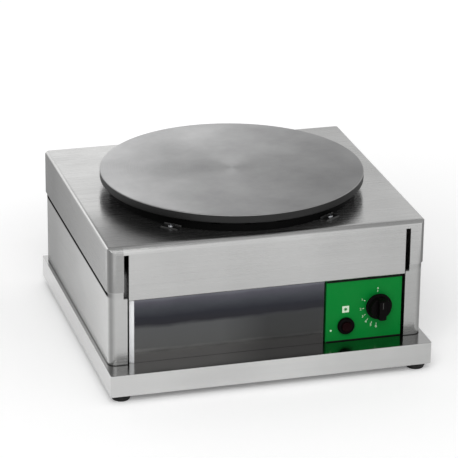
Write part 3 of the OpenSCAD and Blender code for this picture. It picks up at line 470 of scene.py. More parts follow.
# %% Rough casting
def rough_casting(name, colour, shine, pitting):
    """Raw iron with pits in its surface and paler stains, as it comes from the sand."""
    material, tree, shader = start_material(name, Metallic=0.35)
    pits = noise(tree, object_coords(tree), 420.0, 4.0, 0.65)
    stain = noise(tree, object_coords(tree), 24.0, 4.0)
    lighter = tuple(min(1.0, c * 1.7) for c in colour) + (1,)
    tree.links.new(mix_colour(tree, spread(tree, stain, 0.0, 1.0), tuple(colour) + (1,), lighter),
                   shader.inputs["Base Color"])
    tree.links.new(spread(tree, pits, shine - 0.1, shine + 0.1), shader.inputs["Roughness"])
    bump(tree, shader, pits, pitting, 0.0006)
    return material


burner_iron = rough_casting("burner_casting", (0.060, 0.056, 0.052), 0.62, 0.5)
print("burner finish:", burner_iron.name)

# %% [markdown]
# ### Paint, plastic, rubber and the small metals
# Sprayed paint has a faint orange peel and dust at random spots. Moulded plastic has a fine eroded texture.
# Rubber is duller and a little dusty. One function makes all of these surfaces from a colour and a few numbers. Its
# gloss is the shader's specular level: low for matt black plastic, which would look grey otherwise. A second function
# makes brass and copper, which tarnish in patches.

# %% Coated surfaces and small metals
def coated(name, colour, shine, peel_scale, peel, fade=0.12, gloss=0.5):
    """Shine is the roughness, peel how strong the skin's bumps are, and fade how pale the dust is."""
    material, tree, shader = start_material(name, Specular_IOR_Level=gloss)
    peel_noise = noise(tree, object_coords(tree), peel_scale, 2.0)
    dust = noise(tree, object_coords(tree), 38.0, 5.0, 0.7)
    pale = tuple(c + (0.5 - c) * fade * 0.25 for c in colour) + (1,)
    tree.links.new(mix_colour(tree, spread(tree, dust, 0.0, 1.0, 0.45, 0.75), tuple(colour) + (1,), pale),
                   shader.inputs["Base Color"])
    tree.links.new(spread(tree, dust, shine, shine + 0.12), shader.inputs["Roughness"])
    bump(tree, shader, peel_noise, peel, 0.0002)
    return material


def tarnished(name, bright, dull, shine):
    """Metal whose colour wanders from bright to dull, with marks of the tool."""
    material, tree, shader = start_material(name, Metallic=1.0)
    patch = noise(tree, object_coords(tree), 60.0, 5.0, 0.6)
    tool = noise(tree, object_coords(tree, (900, 30, 900)), 1.0, 2.0)
    tree.links.new(mix_colour(tree, spread(tree, patch, 0.0, 1.0), tuple(bright) + (1,), tuple(dull) + (1,)),
                   shader.inputs["Base Color"])
    tree.links.new(spread(tree, patch, shine - 0.06, shine + 0.12), shader.inputs["Roughness"])
    bump(tree, shader, tool, 0.06, 0.0001)
    return material


ring_black = coated("black_enamel_ring", (0.0012, 0.0012, 0.0012), 0.56, 300.0, 0.10, 0.0, 0.05)
green_paint = coated("green_panel_paint", (0.002, 0.198, 0.030), 0.34, 520.0, 0.05, 0.03, 0.06)
black_plastic = coated("black_moulded_plastic", (0.0018, 0.0014, 0.0014), 0.46, 1400.0, 0.15, 0.01, 0.05)
red_plastic = coated("dark_red_plastic", (0.0065, 0.0005, 0.001), 0.42, 900.0, 0.06, 0.0, 0.05)
foot_rubber = coated("black_rubber", (0.010, 0.010, 0.010), 0.66, 800.0, 0.30, 0.12, 0.20)
# Painted shade: near-black beads for the shade along the green panel's top and foot.
shade_bead_black = coated("sealing_bead", (0.004, 0.004, 0.004), 0.60, 900.0, 0.10, 0.03, 0.12)
lead_sleeve = coated("silicone_sleeve", (0.020, 0.019, 0.018), 0.50, 700.0, 0.10, 0.08, 0.30)
glaze = coated("white_glaze", (0.78, 0.76, 0.70), 0.14, 260.0, 0.05, 0.1)
pale_mark = coated("pointer_paint", (0.055, 0.055, 0.052), 0.5, 600.0, 0.08, 0.05, 0.15)
white_print = coated("white_print", (0.66, 0.80, 0.62), 0.42, 600.0, 0.08, 0.1, 0.2)
brass = tarnished("machined_brass", (0.72, 0.50, 0.20), (0.50, 0.33, 0.13), 0.26)
copper = tarnished("drawn_copper", (0.72, 0.38, 0.24), (0.45, 0.22, 0.14), 0.30)
print("coated and small-metal finishes: 12")

# %% [markdown]
# ## Skins for the CAD solids
# A CAD node arrives as loose triangles with hard edges. Its shape is right, but a rolled edge would show facets
# and a cut edge would be infinitely sharp. So each node gets a skin: a copy whose corners are merged, whose flat
# areas are joined into single faces, whose edges are rounded by a fraction of a millimetre, and whose curves are
# shaded smooth. Where a curve runs into a flat sheet, the shading follows the larger face, because a flat mirror
# whose normals lean at its border would bend everything it reflects. The skin then stands for the node and rides on
# the same body.

# %% Helpers: pieces and meshes
SMOOTH_UNDER = math.radians(28)


def add_piece(name, mesh, body, stands_for=()):
    piece = bpy.data.objects.new(name, mesh)
    scene.collection.objects.link(piece)
    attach(piece, body)
    if stands_for:
        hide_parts(*stands_for)
    return piece


def as_mesh(name, work):
    """Plain mesh of a finished bmesh."""
    mesh = bpy.data.meshes.new(name)
    work.to_mesh(mesh)
    work.free()
    return mesh


def joined(name, meshes):
    work = bmesh.new()
    for mesh in meshes:
        work.from_mesh(mesh)
        bpy.data.meshes.remove(mesh)
    return as_mesh(name, work)


def finish_with(mesh, material):
    """Gives all of a mesh one material."""
    mesh.materials.clear()
    mesh.materials.append(material)
    mesh.polygons.foreach_set("material_index", [0] * len(mesh.polygons))


def shade_by_angle(mesh, angle=SMOOTH_UNDER):
    mesh.shade_smooth()
    mesh.set_sharp_from_angle(angle=angle)


print("helpers: pieces and meshes")

# %% Make a skin from a node
body_of_node = {n: b for b, members in frame["record"]["behaviour"]["bodies"].items() for n in members}
SHEET_SMOOTH_UNDER = math.radians(16)
FLAT_UNDER, SHARP_OVER = math.radians(0.4), math.radians(40)
SAME_CORNER = 2e-6    # metres between corners that are one
LOOKS_INSIDE = 0.002  # metres that a face's plane lies beyond the centre, at least


def soften(mesh, round_mm):
    """Merges a mesh's corners, joins its flat areas and rounds its sharp edges."""
    work = bmesh.new()
    work.from_mesh(mesh)
    bmesh.ops.remove_doubles(work, verts=work.verts, dist=SAME_CORNER)
    if round_mm:
        bmesh.ops.dissolve_limit(work, angle_limit=FLAT_UNDER, verts=work.verts, edges=work.edges)
        sharp = [e for e in work.edges if len(e.link_faces) == 2 and e.calc_face_angle() > SHARP_OVER]
        bmesh.ops.bevel(work, geom=sharp, offset=round_mm * MM, segments=2, profile=0.5, material=-1,
                        affect="EDGES", clamp_overlap=False)
    work.to_mesh(mesh)
    work.free()
    shade_by_angle(mesh, SHEET_SMOOTH_UNDER if round_mm else SMOOTH_UNDER)


def favour_large_faces(mesh):
    """Mesh whose normals follow the larger face wherever a curve meets a flat."""
    carrier = bpy.data.objects.new(mesh.name + "_carrier", mesh)
    scene.collection.objects.link(carrier)
    weighted = carrier.modifiers.new("weighted", "WEIGHTED_NORMAL")
    weighted.mode, weighted.weight, weighted.keep_sharp = "FACE_AREA", 100, True
    made = bpy.data.meshes.new_from_object(carrier.evaluated_get(bpy.context.evaluated_depsgraph_get()))
    made.name = mesh.name
    bpy.data.objects.remove(carrier)
    return made


def stand_in(node, mesh):
    return add_piece(node + "_skin", mesh, body_of_node[node], [node])


def skin(node, material, round_mm=0.0):
    mesh = frame["nodes"][node].data.copy()
    mesh.name = node + "_skin"
    finish_with(mesh, material)
    soften(mesh, round_mm)
    return stand_in(node, favour_large_faces(mesh) if round_mm else mesh)


def dull_inside(piece, centre):
    """Gives the faces that look towards the housing's centre the nearly black inside finish, which is painted shade.
    """
    piece.data.materials.append(inside_shade_steel)
    for polygon in piece.data.polygons:
        if polygon.normal.dot(polygon.center - Vector(centre) * MM) < -LOOKS_INSIDE:
            polygon.material_index = 1


print("skins: sharp edges over %.0f degrees are rounded" % math.degrees(SHARP_OVER))

# %% [markdown]
# ### Housing
# The cover, the side panels, the back and the base are the folded steel that makes most of the picture. The base
# is polished more than the rest, so its ledge mirrors the panels that stand on it. Inside, the sheets are rough as
# they came from the mill and painted nearly black as painted shade: every face that looks towards the middle of the
# box gets this finish, which makes the slots beside the band read as dark openings.

# %% Housing skins
HOUSING_CENTRE, BASE_CENTRE = (0, 8, 130), (0, 0, 28)
SHEET_ROUND, TAB_ROUND = 0.3, 0.2
LOOKS_LEFT = 0.2  # how far a face must look to the left to count as the folded edge
dull_inside(skin("base_tray", stainless_base, SHEET_ROUND), BASE_CENTRE)
cover_skin = skin("top_cover", stainless, SHEET_ROUND)
dull_inside(cover_skin, HOUSING_CENTRE)
for name in ("left_side_panel", "right_side_panel", "rear_panel"):
    dull_inside(skin(name, stainless_sides, SHEET_ROUND), HOUSING_CENTRE)
skin("ring_tabs", tab_steel, TAB_ROUND)
skin("control_panel", green_paint, SHEET_ROUND)
front_skin = skin("lower_front_panel", dark_steel, SHEET_ROUND)

# The folded left edge of the dark panel gets a pale steel finish as a painted highlight
front_skin.data.materials.append(ground_edge)
for polygon in front_skin.data.polygons:
    if polygon.normal.x < -LOOKS_LEFT and polygon.normal.y < 0:
        polygon.material_index = 1
print("housing skins: 8, cover has", len(cover_skin.data.polygons), "faces")

# %% [markdown]
# ### Everything inside
# The burner, the gas line and the ignition are seen through the slots, from below, and when the plate is lifted.
# They get skins too, with the finish of their own metal.

# %% Inner skins
inner = {
    "foot_plates": zinc, "foot_nuts": zinc, "star_burner": burner_iron, "burner_bridge": zinc,
    "mixing_tube": burner_iron, "air_shutter": zinc, "shutter_screw": zinc, "injector": brass,
    "burner_pipe_nuts": brass, "supply_pipe_nuts": brass, "inlet_lock_nut": brass, "valve_body": brass,
    "valve_nut": zinc, "valve_plug": brass, "valve_spindle": zinc, "magnet_unit": zinc, "thermocouple": copper,
    "pilot_bracket": zinc, "pilot_screw": zinc, "spark_electrode": glaze, "electrode_pin": zinc,
    "igniter_body": black_plastic, "heat_shield": zinc,
}
for name, finish in inner.items():
    skin(name, finish)
print("inner skins:", len(inner))

# %% [markdown]
# ## Pieces that repeat or follow a path
# Screws, feet, notches, pipes and a thread each follow a rule, so Geometry Nodes make them. A tree is built once with
# named inputs for its sizes. It is run on a small mesh that only says where: loose points for things that repeat, a
# line for things that follow a path. The result becomes a plain mesh, which is all that is kept.

# %% Helpers: build a tree and run it
def geometry_tree(name, sockets):
    tree = bpy.data.node_groups.new(name, "GeometryNodeTree")
    tree.interface.new_socket("Geometry", in_out="INPUT", socket_type="NodeSocketGeometry")
    for label, kind in sockets:
        tree.interface.new_socket(label, in_out="INPUT", socket_type=kind)
    tree.interface.new_socket("Geometry", in_out="OUTPUT", socket_type="NodeSocketGeometry")
    return tree, add_node(tree, "NodeGroupInput").outputs


def finish_tree(tree, geometry, material):
    real = add_node(tree, "GeometryNodeRealizeInstances", {0: geometry})
    painted = add_node(tree, "GeometryNodeSetMaterial", {"Geometry": real.outputs[0], "Material": material})
    add_node(tree, "NodeGroupOutput", {0: painted.outputs[0]})


def run_tree(name, tree, mesh, **values):
    carrier = bpy.data.objects.new(name + "_carrier", mesh)
    scene.collection.objects.link(carrier)
    modifier = carrier.modifiers.new("nodes", "NODES")
    modifier.node_group = tree
    for item in tree.interface.items_tree:
        key = item.name.replace(" ", "_").lower()
        if item.in_out == "INPUT" and key in values:
            modifier[item.identifier] = values[key]
    evaluated = carrier.evaluated_get(bpy.context.evaluated_depsgraph_get())
    made = bpy.data.meshes.new_from_object(evaluated)
    made.name = name
    bpy.data.objects.remove(carrier)
    return made


def point_mesh(name, points, facing=None):
    """Loose points in millimetres, each with the direction that its copy looks in."""
    mesh = bpy.data.meshes.new(name)
    mesh.from_pydata([tuple(c * MM for c in p) for p in points], [], [])
    if facing:
        layer = mesh.attributes.new("facing", "FLOAT_VECTOR", "POINT")
        layer.data.foreach_set("vector", [c for _ in points for c in facing])
    return mesh


def path_mesh(name, points):
    """Points in millimetres, joined by edges into one line."""
    mesh = bpy.data.meshes.new(name)
    mesh.from_pydata([tuple(c * MM for c in p) for p in points], [(i, i + 1) for i in range(len(points) - 1)], [])
    return mesh


print("helpers: trees")

# %% Helpers: shapes inside a tree
def vector(tree, x=0.0, y=0.0, z=0.0):
    return add_node(tree, "ShaderNodeCombineXYZ", {0: x, 1: y, 2: z}).outputs[0]


def lifted(tree, mesh, height):
    return add_node(tree, "GeometryNodeTransform", {0: mesh, "Translation": vector(tree, z=height)}).outputs[0]


def block(tree, x, y, z):
    return add_node(tree, "GeometryNodeMeshCube", {"Size": vector(tree, x, y, z)}).outputs[0]


def cut_away(tree, mesh, *cutters):
    cut = add_node(tree, "GeometryNodeMeshBoolean", {0: mesh}, operation="DIFFERENCE", solver="EXACT")
    for cutter in cutters:
        tree.links.new(cutter, cut.inputs[1])
    return cut.outputs[0]


def drum(tree, radius, depth, around=48, rows=1):
    return add_node(tree, "GeometryNodeMeshCylinder", {
        "Vertices": around, "Side Segments": rows, "Radius": radius, "Depth": depth}).outputs[0]


def own_place(tree):
    """A point's position, and its height alone."""
    place = add_node(tree, "GeometryNodeInputPosition").outputs[0]
    return place, add_node(tree, "ShaderNodeSeparateXYZ", {0: place}).outputs[2]


def drawn_in(tree, mesh, place, share):
    """Mesh whose points come nearer to the Z axis, by a share that may follow the height."""
    moved = add_node(tree, "ShaderNodeVectorMath", {0: place, 1: vector(tree, share, share, 1.0)},
                     operation="MULTIPLY")
    return add_node(tree, "GeometryNodeSetPosition", {0: mesh, "Position": moved.outputs[0]}).outputs[0]


def aimed(tree, direction, **axes):
    return add_node(tree, "FunctionNodeAlignRotationToVector", {"Vector": direction}, **axes).outputs[0]


def copies(tree, points, shape, turn=(0, 0, 0)):
    return add_node(tree, "GeometryNodeInstanceOnPoints", {
        "Points": points, "Instance": shape, "Rotation": turn}).outputs[0]


print("helpers: shapes inside a tree")

# %% [markdown]
# ### Screws
# The sheets are held by pan-head screws with a cross recess. The head is a cylinder with several rows round its
# side. Its upper rows are drawn in to make the dome, and two crossed blocks are cut out of the top. Every copy is
# aimed along its point's direction and turned by a random angle, because nobody tightens screws to line up.

# %% Screw tree
DOME = 0.30  # share of the head's radius that is drawn in at its top
HEAD_AROUND, HEAD_ROWS, SHANK_AROUND = 40, 8, 24
FLOAT, COUNT, FINISH = "NodeSocketFloat", "NodeSocketInt", "NodeSocketMaterial"
screw_tree, given = geometry_tree("cross_head_screws", [
    ("Head Radius", FLOAT), ("Head Height", FLOAT), ("Shank Radius", FLOAT), ("Shank Length", FLOAT),
    ("Slot Length", FLOAT), ("Slot Width", FLOAT), ("Seed", COUNT), ("Material", FINISH)])
half_head = times(screw_tree, given["Head Height"], 0.5)
head = lifted(screw_tree, drum(screw_tree, given["Head Radius"], given["Head Height"], HEAD_AROUND, HEAD_ROWS),
              half_head)
place, height = own_place(screw_tree)
rise = math_node(screw_tree, "POWER", spread(screw_tree, height, 0.0, 1.0, half_head, given["Head Height"]), 2.0)
domed = drawn_in(screw_tree, head, place, one_minus(screw_tree, times(screw_tree, rise, DOME)))
arms = [lifted(screw_tree, block(screw_tree, given[x], given[y], given["Head Height"]), given["Head Height"])
        for x, y in (("Slot Length", "Slot Width"), ("Slot Width", "Slot Length"))]
slotted = cut_away(screw_tree, domed, *arms)
shank = lifted(screw_tree, drum(screw_tree, given["Shank Radius"], given["Shank Length"], SHANK_AROUND),
               times(screw_tree, given["Shank Length"], -0.5))
screw = add_node(screw_tree, "GeometryNodeJoinGeometry", {0: slotted})
screw_tree.links.new(shank, screw.inputs[0])
looks = add_node(screw_tree, "GeometryNodeInputNamedAttribute", {"Name": "facing"}, data_type="FLOAT_VECTOR")
chance = add_node(screw_tree, "FunctionNodeRandomValue", {2: 0.0, 3: math.pi, "Seed": given["Seed"]},
                  data_type="FLOAT")
spin = add_node(screw_tree, "FunctionNodeAxisAngleToRotation", {"Angle": chance.outputs[1]})
turned = add_node(screw_tree, "FunctionNodeRotateRotation", {
    0: aimed(screw_tree, looks.outputs[0], axis="Z"), 1: spin.outputs[0]}, rotation_space="LOCAL")
screws = copies(screw_tree, given["Geometry"], screw.outputs[0], turned.outputs[0])
finish_tree(screw_tree, screws, given["Material"])
print("screw tree:", len(screw_tree.nodes), "nodes")

# %% Screws in the back, the tabs, the base and the feet
TAB_R, TAB_TOP, TAB_ANGLES = 193.35, 230.5, [math.radians(a) for a in (47, 123, 227, 303)]
FOOT_X, FOOT_Y, FOOT_WELL = 226.5, 219, 5.5
EDGE_X, BASE_FLANGE = 231, 43  # screws near the left and right edges, and the sheet that the base screws hold
REAR_PANEL_Y, REAR_SKIRT_Y = 219, 221
BASE_ROWS = ((208.5, (-150, 90)), (-188.5, (-150, 20)), (-188.5, (115, 180)), (-110.8, (105, 190)))
BRIDGE_X, BRIDGE_Y = 25, 121
SLOT_L, SLOT_W = 1.1, 0.26  # length and width of the recess, in radii of the head


def drive(node, spots, facing, seed, head_r=4.0, head_h=2.4, shank_r=2.0, shank_l=8.0):
    mesh = run_tree(node + "_skin", screw_tree, point_mesh(node + "_points", spots, facing),
                    head_radius=head_r * MM, head_height=head_h * MM, shank_radius=shank_r * MM,
                    shank_length=shank_l * MM, slot_length=head_r * SLOT_L * MM, slot_width=head_r * SLOT_W * MM,
                    seed=seed, material=zinc)
    shade_by_angle(mesh)
    stand_in(node, mesh)
    return len(spots)


corners = [(x, y) for x in (-1, 1) for y in (-1, 1)]
base_spots = [(x, y, BASE_FLANGE) for x in (-EDGE_X, EDGE_X) for y in (-120, 120)]
base_spots += [(x, y, BASE_FLANGE) for y, row in BASE_ROWS for x in row]
base_spots += [(x * BRIDGE_X, y * BRIDGE_Y, BASE_FLANGE) for x, y in corners]
rear_spots = [(x, REAR_PANEL_Y, z) for x in (-EDGE_X, EDGE_X) for z in (62.5, 102.5, 142.5)]
rear_spots += [(x, REAR_SKIRT_Y, 175) for x in (-140, 140)]
tab_spots = [(TAB_R * math.cos(a), TAB_R * math.sin(a), TAB_TOP) for a in TAB_ANGLES]
foot_spots = [(x * FOOT_X, y * FOOT_Y, FOOT_WELL) for x, y in corners]
driven = drive("rear_screws", rear_spots, (0, 1, 0), 3)
driven += drive("tab_screws", tab_spots, (0, 0, 1), 5)
driven += drive("base_screws", base_spots, (0, 0, -1), 7, shank_l=9.0)
driven += drive("foot_screws", foot_spots, (0, 0, -1), 9, head_r=5.0, head_h=3.0, shank_r=2.5, shank_l=14.5)
print("screws:", driven)

# %% [markdown]
# ### Rubber feet
# Each foot is moulded: it tapers towards the table, its edges are rounded, and its screw sits in a well so that
# metal never touches the table. A drum with many rows gets its outline from its height, then the well and the bolt
# hole are cut out of it.

# %% Feet tree
FOOT_AROUND, FOOT_ROWS = 64, 26
feet_tree, given = geometry_tree("rubber_feet", [
    ("Top Radius", FLOAT), ("Taper", FLOAT), ("Height", FLOAT), ("Edge", FLOAT), ("Well Radius", FLOAT),
    ("Well Depth", FLOAT), ("Bolt Radius", FLOAT), ("Material", FINISH)])
middle = times(feet_tree, given["Height"], 0.5)
blank = lifted(feet_tree, drum(feet_tree, given["Top Radius"], given["Height"], FOOT_AROUND, FOOT_ROWS), middle)
place, height = own_place(feet_tree)
from_top = math_node(feet_tree, "SUBTRACT", given["Height"], height)
near_end = math_node(feet_tree, "MINIMUM", height, from_top)
past = one_minus(feet_tree, spread(feet_tree, near_end, 0.0, 1.0, 0.0, given["Edge"]))
round_off = one_minus(feet_tree, math_node(
    feet_tree, "SQRT", one_minus(feet_tree, math_node(feet_tree, "POWER", past, 2.0))))
tapered = times(feet_tree, spread(feet_tree, height, 1.0, 0.0, 0.0, middle), given["Taper"])
less = math_node(feet_tree, "ADD", times(feet_tree, round_off, given["Edge"]), tapered)
share = one_minus(feet_tree, math_node(feet_tree, "DIVIDE", less, given["Top Radius"]))
well = drum(feet_tree, given["Well Radius"], times(feet_tree, given["Well Depth"], 2.0))
hole = drum(feet_tree, given["Bolt Radius"], times(feet_tree, given["Height"], 4.0))
foot = cut_away(feet_tree, drawn_in(feet_tree, blank, place, share), well, hole)
finish_tree(feet_tree, copies(feet_tree, given["Geometry"], foot), given["Material"])
print("feet tree:", len(feet_tree.nodes), "nodes")

# %% Feet
foot_mesh = run_tree("rubber_feet_skin", feet_tree,
                     point_mesh("foot_points", [(x * FOOT_X, y * FOOT_Y, 0) for x, y in corners]),
                     top_radius=15 * MM, taper=2.5 * MM, height=extent("rubber_feet", Z)[1] * MM, edge=1.1 * MM,
                     well_radius=6 * MM, well_depth=FOOT_WELL * MM, bolt_radius=2.7 * MM, material=foot_rubber)
shade_by_angle(foot_mesh)
stand_in("rubber_feet", foot_mesh)
print("feet:", len(corners))

# %% [markdown]
# ### Burner ring
# The ring carries the plate, and the hot gas leaves through notches in its upper edge. Its form follows a rule: a
# thin wall with a foot, and the same notch at equal steps all the way round. So the tree takes the number of notches
# and places that many cutters on a circle.

# %% Ring tree
RING_STEPS = 240
ring_tree, given = geometry_tree("notched_ring", [
    ("Outer Radius", FLOAT), ("Wall", FLOAT), ("Height", FLOAT), ("Foot Radius", FLOAT), ("Foot Height", FLOAT),
    ("Notches", COUNT), ("Notch Width", FLOAT), ("Notch Height", FLOAT), ("Material", FINISH)])
wall = lifted(ring_tree, drum(ring_tree, given["Outer Radius"], given["Height"], RING_STEPS),
              times(ring_tree, given["Height"], 0.5))
bore_radius = math_node(ring_tree, "SUBTRACT", given["Outer Radius"], given["Wall"])
bore = lifted(ring_tree, drum(ring_tree, bore_radius, times(ring_tree, given["Height"], 2.0), RING_STEPS),
              math_node(ring_tree, "ADD", given["Height"], given["Foot Height"]))
mouth = drum(ring_tree, given["Foot Radius"], times(ring_tree, given["Height"], 4.0), RING_STEPS)
circle = add_node(ring_tree, "GeometryNodeMeshCircle", {
    "Vertices": given["Notches"], "Radius": given["Outer Radius"]})
half_step = vector(ring_tree, z=math_node(ring_tree, "DIVIDE", math.pi, given["Notches"]))
between = add_node(ring_tree, "GeometryNodeTransform", {
    0: lifted(ring_tree, circle.outputs[0], given["Height"]), "Rotation": half_step})
cutter = block(ring_tree, times(ring_tree, given["Wall"], 4.0), given["Notch Width"],
               times(ring_tree, given["Notch Height"], 2.0))
flat_place = add_node(ring_tree, "ShaderNodeVectorMath", {0: own_place(ring_tree)[0], 1: (1, 1, 0)},
                      operation="MULTIPLY")
outward = aimed(ring_tree, flat_place.outputs[0], axis="X", pivot_axis="Z")
cutters = add_node(ring_tree, "GeometryNodeRealizeInstances", {
    0: copies(ring_tree, between.outputs[0], cutter, outward)})
finish_tree(ring_tree, cut_away(ring_tree, wall, bore, mouth, cutters.outputs[0]), given["Material"])
print("ring tree:", len(ring_tree.nodes), "nodes")

# %% Ring
RING_R, RING_TOP, RING_ROUND = extent("burner_ring", X)[1], extent("burner_ring", Z)[1], 0.25
ring_mesh = run_tree("burner_ring_skin", ring_tree, point_mesh("ring_point", [(0, 0, 0)]),
                     outer_radius=RING_R * MM, wall=3 * MM, height=(RING_TOP - COVER_TOP) * MM,
                     foot_radius=176 * MM, foot_height=2 * MM, notches=24, notch_width=16 * MM,
                     notch_height=6 * MM, material=ring_black)
ring_mesh.transform(Matrix.Translation((0, 0, COVER_TOP * MM)))
soften(ring_mesh, RING_ROUND)
stand_in("burner_ring", ring_mesh)
print("burner ring:", len(ring_mesh.polygons), "faces")

# %% [markdown]
# ### Pipes, leads and shade beads
# Gas pipes are bent over a former, so every corner has the same radius. A line through the corner points is turned
# into a curve, its corners are rounded, and a circle runs along it. The ignition lead and the thermocouple's lead are
# laid the same way, and so are the two black beads along the green panel, above and below, which are painted shade.

# %% Tube tree
BEND_STEPS, TUBE_AROUND = 10, 28
tube_tree, given = geometry_tree("bent_tube", [
    ("Bend Radius", FLOAT), ("Tube Radius", FLOAT), ("Material", FINISH)])
line = add_node(tube_tree, "GeometryNodeMeshToCurve", {0: given["Geometry"]})
bent = add_node(tube_tree, "GeometryNodeFilletCurve", {
    0: line.outputs[0], "Count": BEND_STEPS, "Radius": given["Bend Radius"]}, mode="POLY")
section = add_node(tube_tree, "GeometryNodeCurvePrimitiveCircle", {
    "Resolution": TUBE_AROUND, "Radius": given["Tube Radius"]})
tube = add_node(tube_tree, "GeometryNodeCurveToMesh", {
    0: bent.outputs[0], 1: section.outputs[0], "Fill Caps": True})
finish_tree(tube_tree, tube.outputs[0], given["Material"])


def tube_mesh(name, route, radius, bend, material):
    mesh = run_tree(name, tube_tree, path_mesh(name + "_line", route), bend_radius=bend * MM,
                    tube_radius=radius * MM, material=material)
    soften(mesh, 0)
    return mesh


print("tube tree:", len(tube_tree.nodes), "nodes")

# %% Pipes and leads
def centre_of(node):
    """Centre of a node's box, in millimetres."""
    return [round((low + high) / 2 / MM, 3) for low, high in zip(*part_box(node))]


VALVE_X, _, VALVE_Z = centre_of("gas_knob")
IGNITER_X, _, IGNITER_Z = centre_of("igniter_bezel")
INLET_X, _, INLET_Z = centre_of("gas_inlet")
INLET_IN, INLET_OUT = extent("gas_inlet", Y)
VALVE_Y, LEAD_Z, MIXER_Z = -167.5, 52.5, 145
SPARK_X, PILOT_X, PILOT_Y, LEAD_Y = 58, 90, -58, -90
PIPE_BEND, LEAD_BEND = 10, 11
tubes = {
    "supply_pipe": ([(INLET_X, INLET_IN, VALVE_Z), (INLET_X, VALVE_Y, VALVE_Z), (VALVE_X + 16, VALVE_Y, VALVE_Z)],
                    5, PIPE_BEND, copper),
    "burner_pipe": ([(VALVE_X, VALVE_Y + 20, VALVE_Z), (VALVE_X, 0, VALVE_Z), (VALVE_X, 0, MIXER_Z),
                     (VALVE_X - 19, 0, MIXER_Z)], 4, PIPE_BEND, copper),
    "ignition_lead": ([(SPARK_X, LEAD_Y, 160), (SPARK_X, LEAD_Y, IGNITER_Z), (IGNITER_X, LEAD_Y, IGNITER_Z),
                       (IGNITER_X, -139.5, IGNITER_Z)], 2.5, LEAD_BEND, lead_sleeve),
    "thermocouple_lead": ([(VALVE_X, VALVE_Y, VALVE_Z - 32), (VALVE_X, VALVE_Y, LEAD_Z), (VALVE_X, PILOT_Y, LEAD_Z),
                           (PILOT_X, PILOT_Y, LEAD_Z), (PILOT_X, PILOT_Y, 168)], 1.5, LEAD_BEND, copper),
}
for name, (route, radius, bend, finish) in tubes.items():
    stand_in(name, tube_mesh(name + "_skin", route, radius, bend, finish))
print("tubes:", len(tubes))

# %% Black beads above and below the green panel, as painted shade
PANEL_Y = extent("control_panel", Y)[0]
BEAD_FROM, BEAD_TO = 91.5, 208.0
SHADE_BEADS = ((BASE_TOP + 0.8, 0.9), (BAND_FOOT - 3.2, 1.7))  # height and radius
shade_bead_mesh = joined("panel_seals", [
    tube_mesh("panel_seal", [(BEAD_FROM, PANEL_Y, height), (BEAD_TO, PANEL_Y, height)], radius, 1.0, shade_bead_black)
    for height, radius in SHADE_BEADS])
finish_with(shade_bead_mesh, shade_bead_black)
shade_by_angle(shade_bead_mesh)
add_piece("panel_seals", shade_bead_mesh, "housing")
print("panel seals:", len(shade_bead_mesh.polygons), "faces")

# %% [markdown]
# ## Turned pieces
# The plate, the bezel, the button, the gas inlet and the knob's drum are bodies of revolution. A lathe function spins
# a profile of radius and height round the Z axis; a profile can carry as many small radii as the real tool leaves,
# which is why these pieces are made here and not skinned.

# %% Lathe
def lathe(name, profile, steps=160):
    """Mesh of a profile of (radius, height) in millimetres, from axis to axis, spun round Z."""
    work = bmesh.new()
    rings = []
    angles = [2 * math.pi * i / steps for i in range(steps)]
    for radius, height in profile:
        if radius == 0:
            rings.append([work.verts.new((0, 0, height * MM))])
            continue
        rings.append([work.verts.new((radius * MM * math.cos(a), radius * MM * math.sin(a), height * MM))
                      for a in angles])
    for a, b in zip(rings, rings[1:]):
        for i in range(steps):
            j = (i + 1) % steps
            corners = [a[i % len(a)], a[j % len(a)], b[j % len(b)], b[i % len(b)]]
            work.faces.new(list(dict.fromkeys(corners)))
    bmesh.ops.remove_doubles(work, verts=work.verts, dist=1e-7)
    bmesh.ops.recalc_face_normals(work, faces=work.faces)
    return as_mesh(name, work)


def rounded(corners, radius, steps=5):
    """Profile with every inner corner rounded by radius, in millimetres."""
    points = [corners[0]]
    for before, corner, after in zip(corners, corners[1:], corners[2:]):
        a, c, b = Vector(before), Vector(corner), Vector(after)
        reach = min(radius, (a - c).length * 0.45, (b - c).length * 0.45)
        start, end = c + (a - c).normalized() * reach, c + (b - c).normalized() * reach
        for i in range(steps + 1):
            t = i / steps
            points.append(tuple(start * (1 - t) ** 2 + c * 2 * t * (1 - t) + end * t ** 2))
    return points + [corners[-1]]


def fit_turned(node, mesh, place, finish, smooth_under=SMOOTH_UNDER):
    """Moves a turned mesh to its place and lets it stand for its node."""
    mesh.transform(place)
    finish_with(mesh, finish)
    shade_by_angle(mesh, smooth_under)
    stand_in(node, mesh)


print("lathe: ready")

# %% [markdown]
# ### The cooking plate
# Its rim has a small bevel at the top, which years of scraping have polished, and a locating rim below that drops
# inside the burner ring.

# %% Cooking plate
PLATE_R, PLATE_T = extent("cooking_plate", X)[1], extent("cooking_plate", Z)[1] - RING_TOP
LOCATING_IN, LOCATING_OUT, LOCATING_DEPTH = 176, 182, 5
plate_mesh = lathe("cooking_plate_skin", rounded([
    (0, 0), (LOCATING_IN, 0), (LOCATING_IN, -LOCATING_DEPTH), (LOCATING_OUT, -LOCATING_DEPTH), (LOCATING_OUT, 0),
    (PLATE_R - 2, 0), (PLATE_R, 2), (PLATE_R, PLATE_T - 1.0), (PLATE_R - 1.0, PLATE_T), (0, PLATE_T)], 0.35, 3), 320)
fit_turned("cooking_plate", plate_mesh, Matrix.Translation((0, 0, RING_TOP * MM)), plate_iron)

# %% [markdown]
# ### Gas inlet
# The brass inlet sticks out of the back. Its shank and bore are turned, its flange is a hexagon for a spanner, and
# its half-inch pipe thread is a ridge that follows a spiral, so Geometry Nodes sweep a small diamond along one.

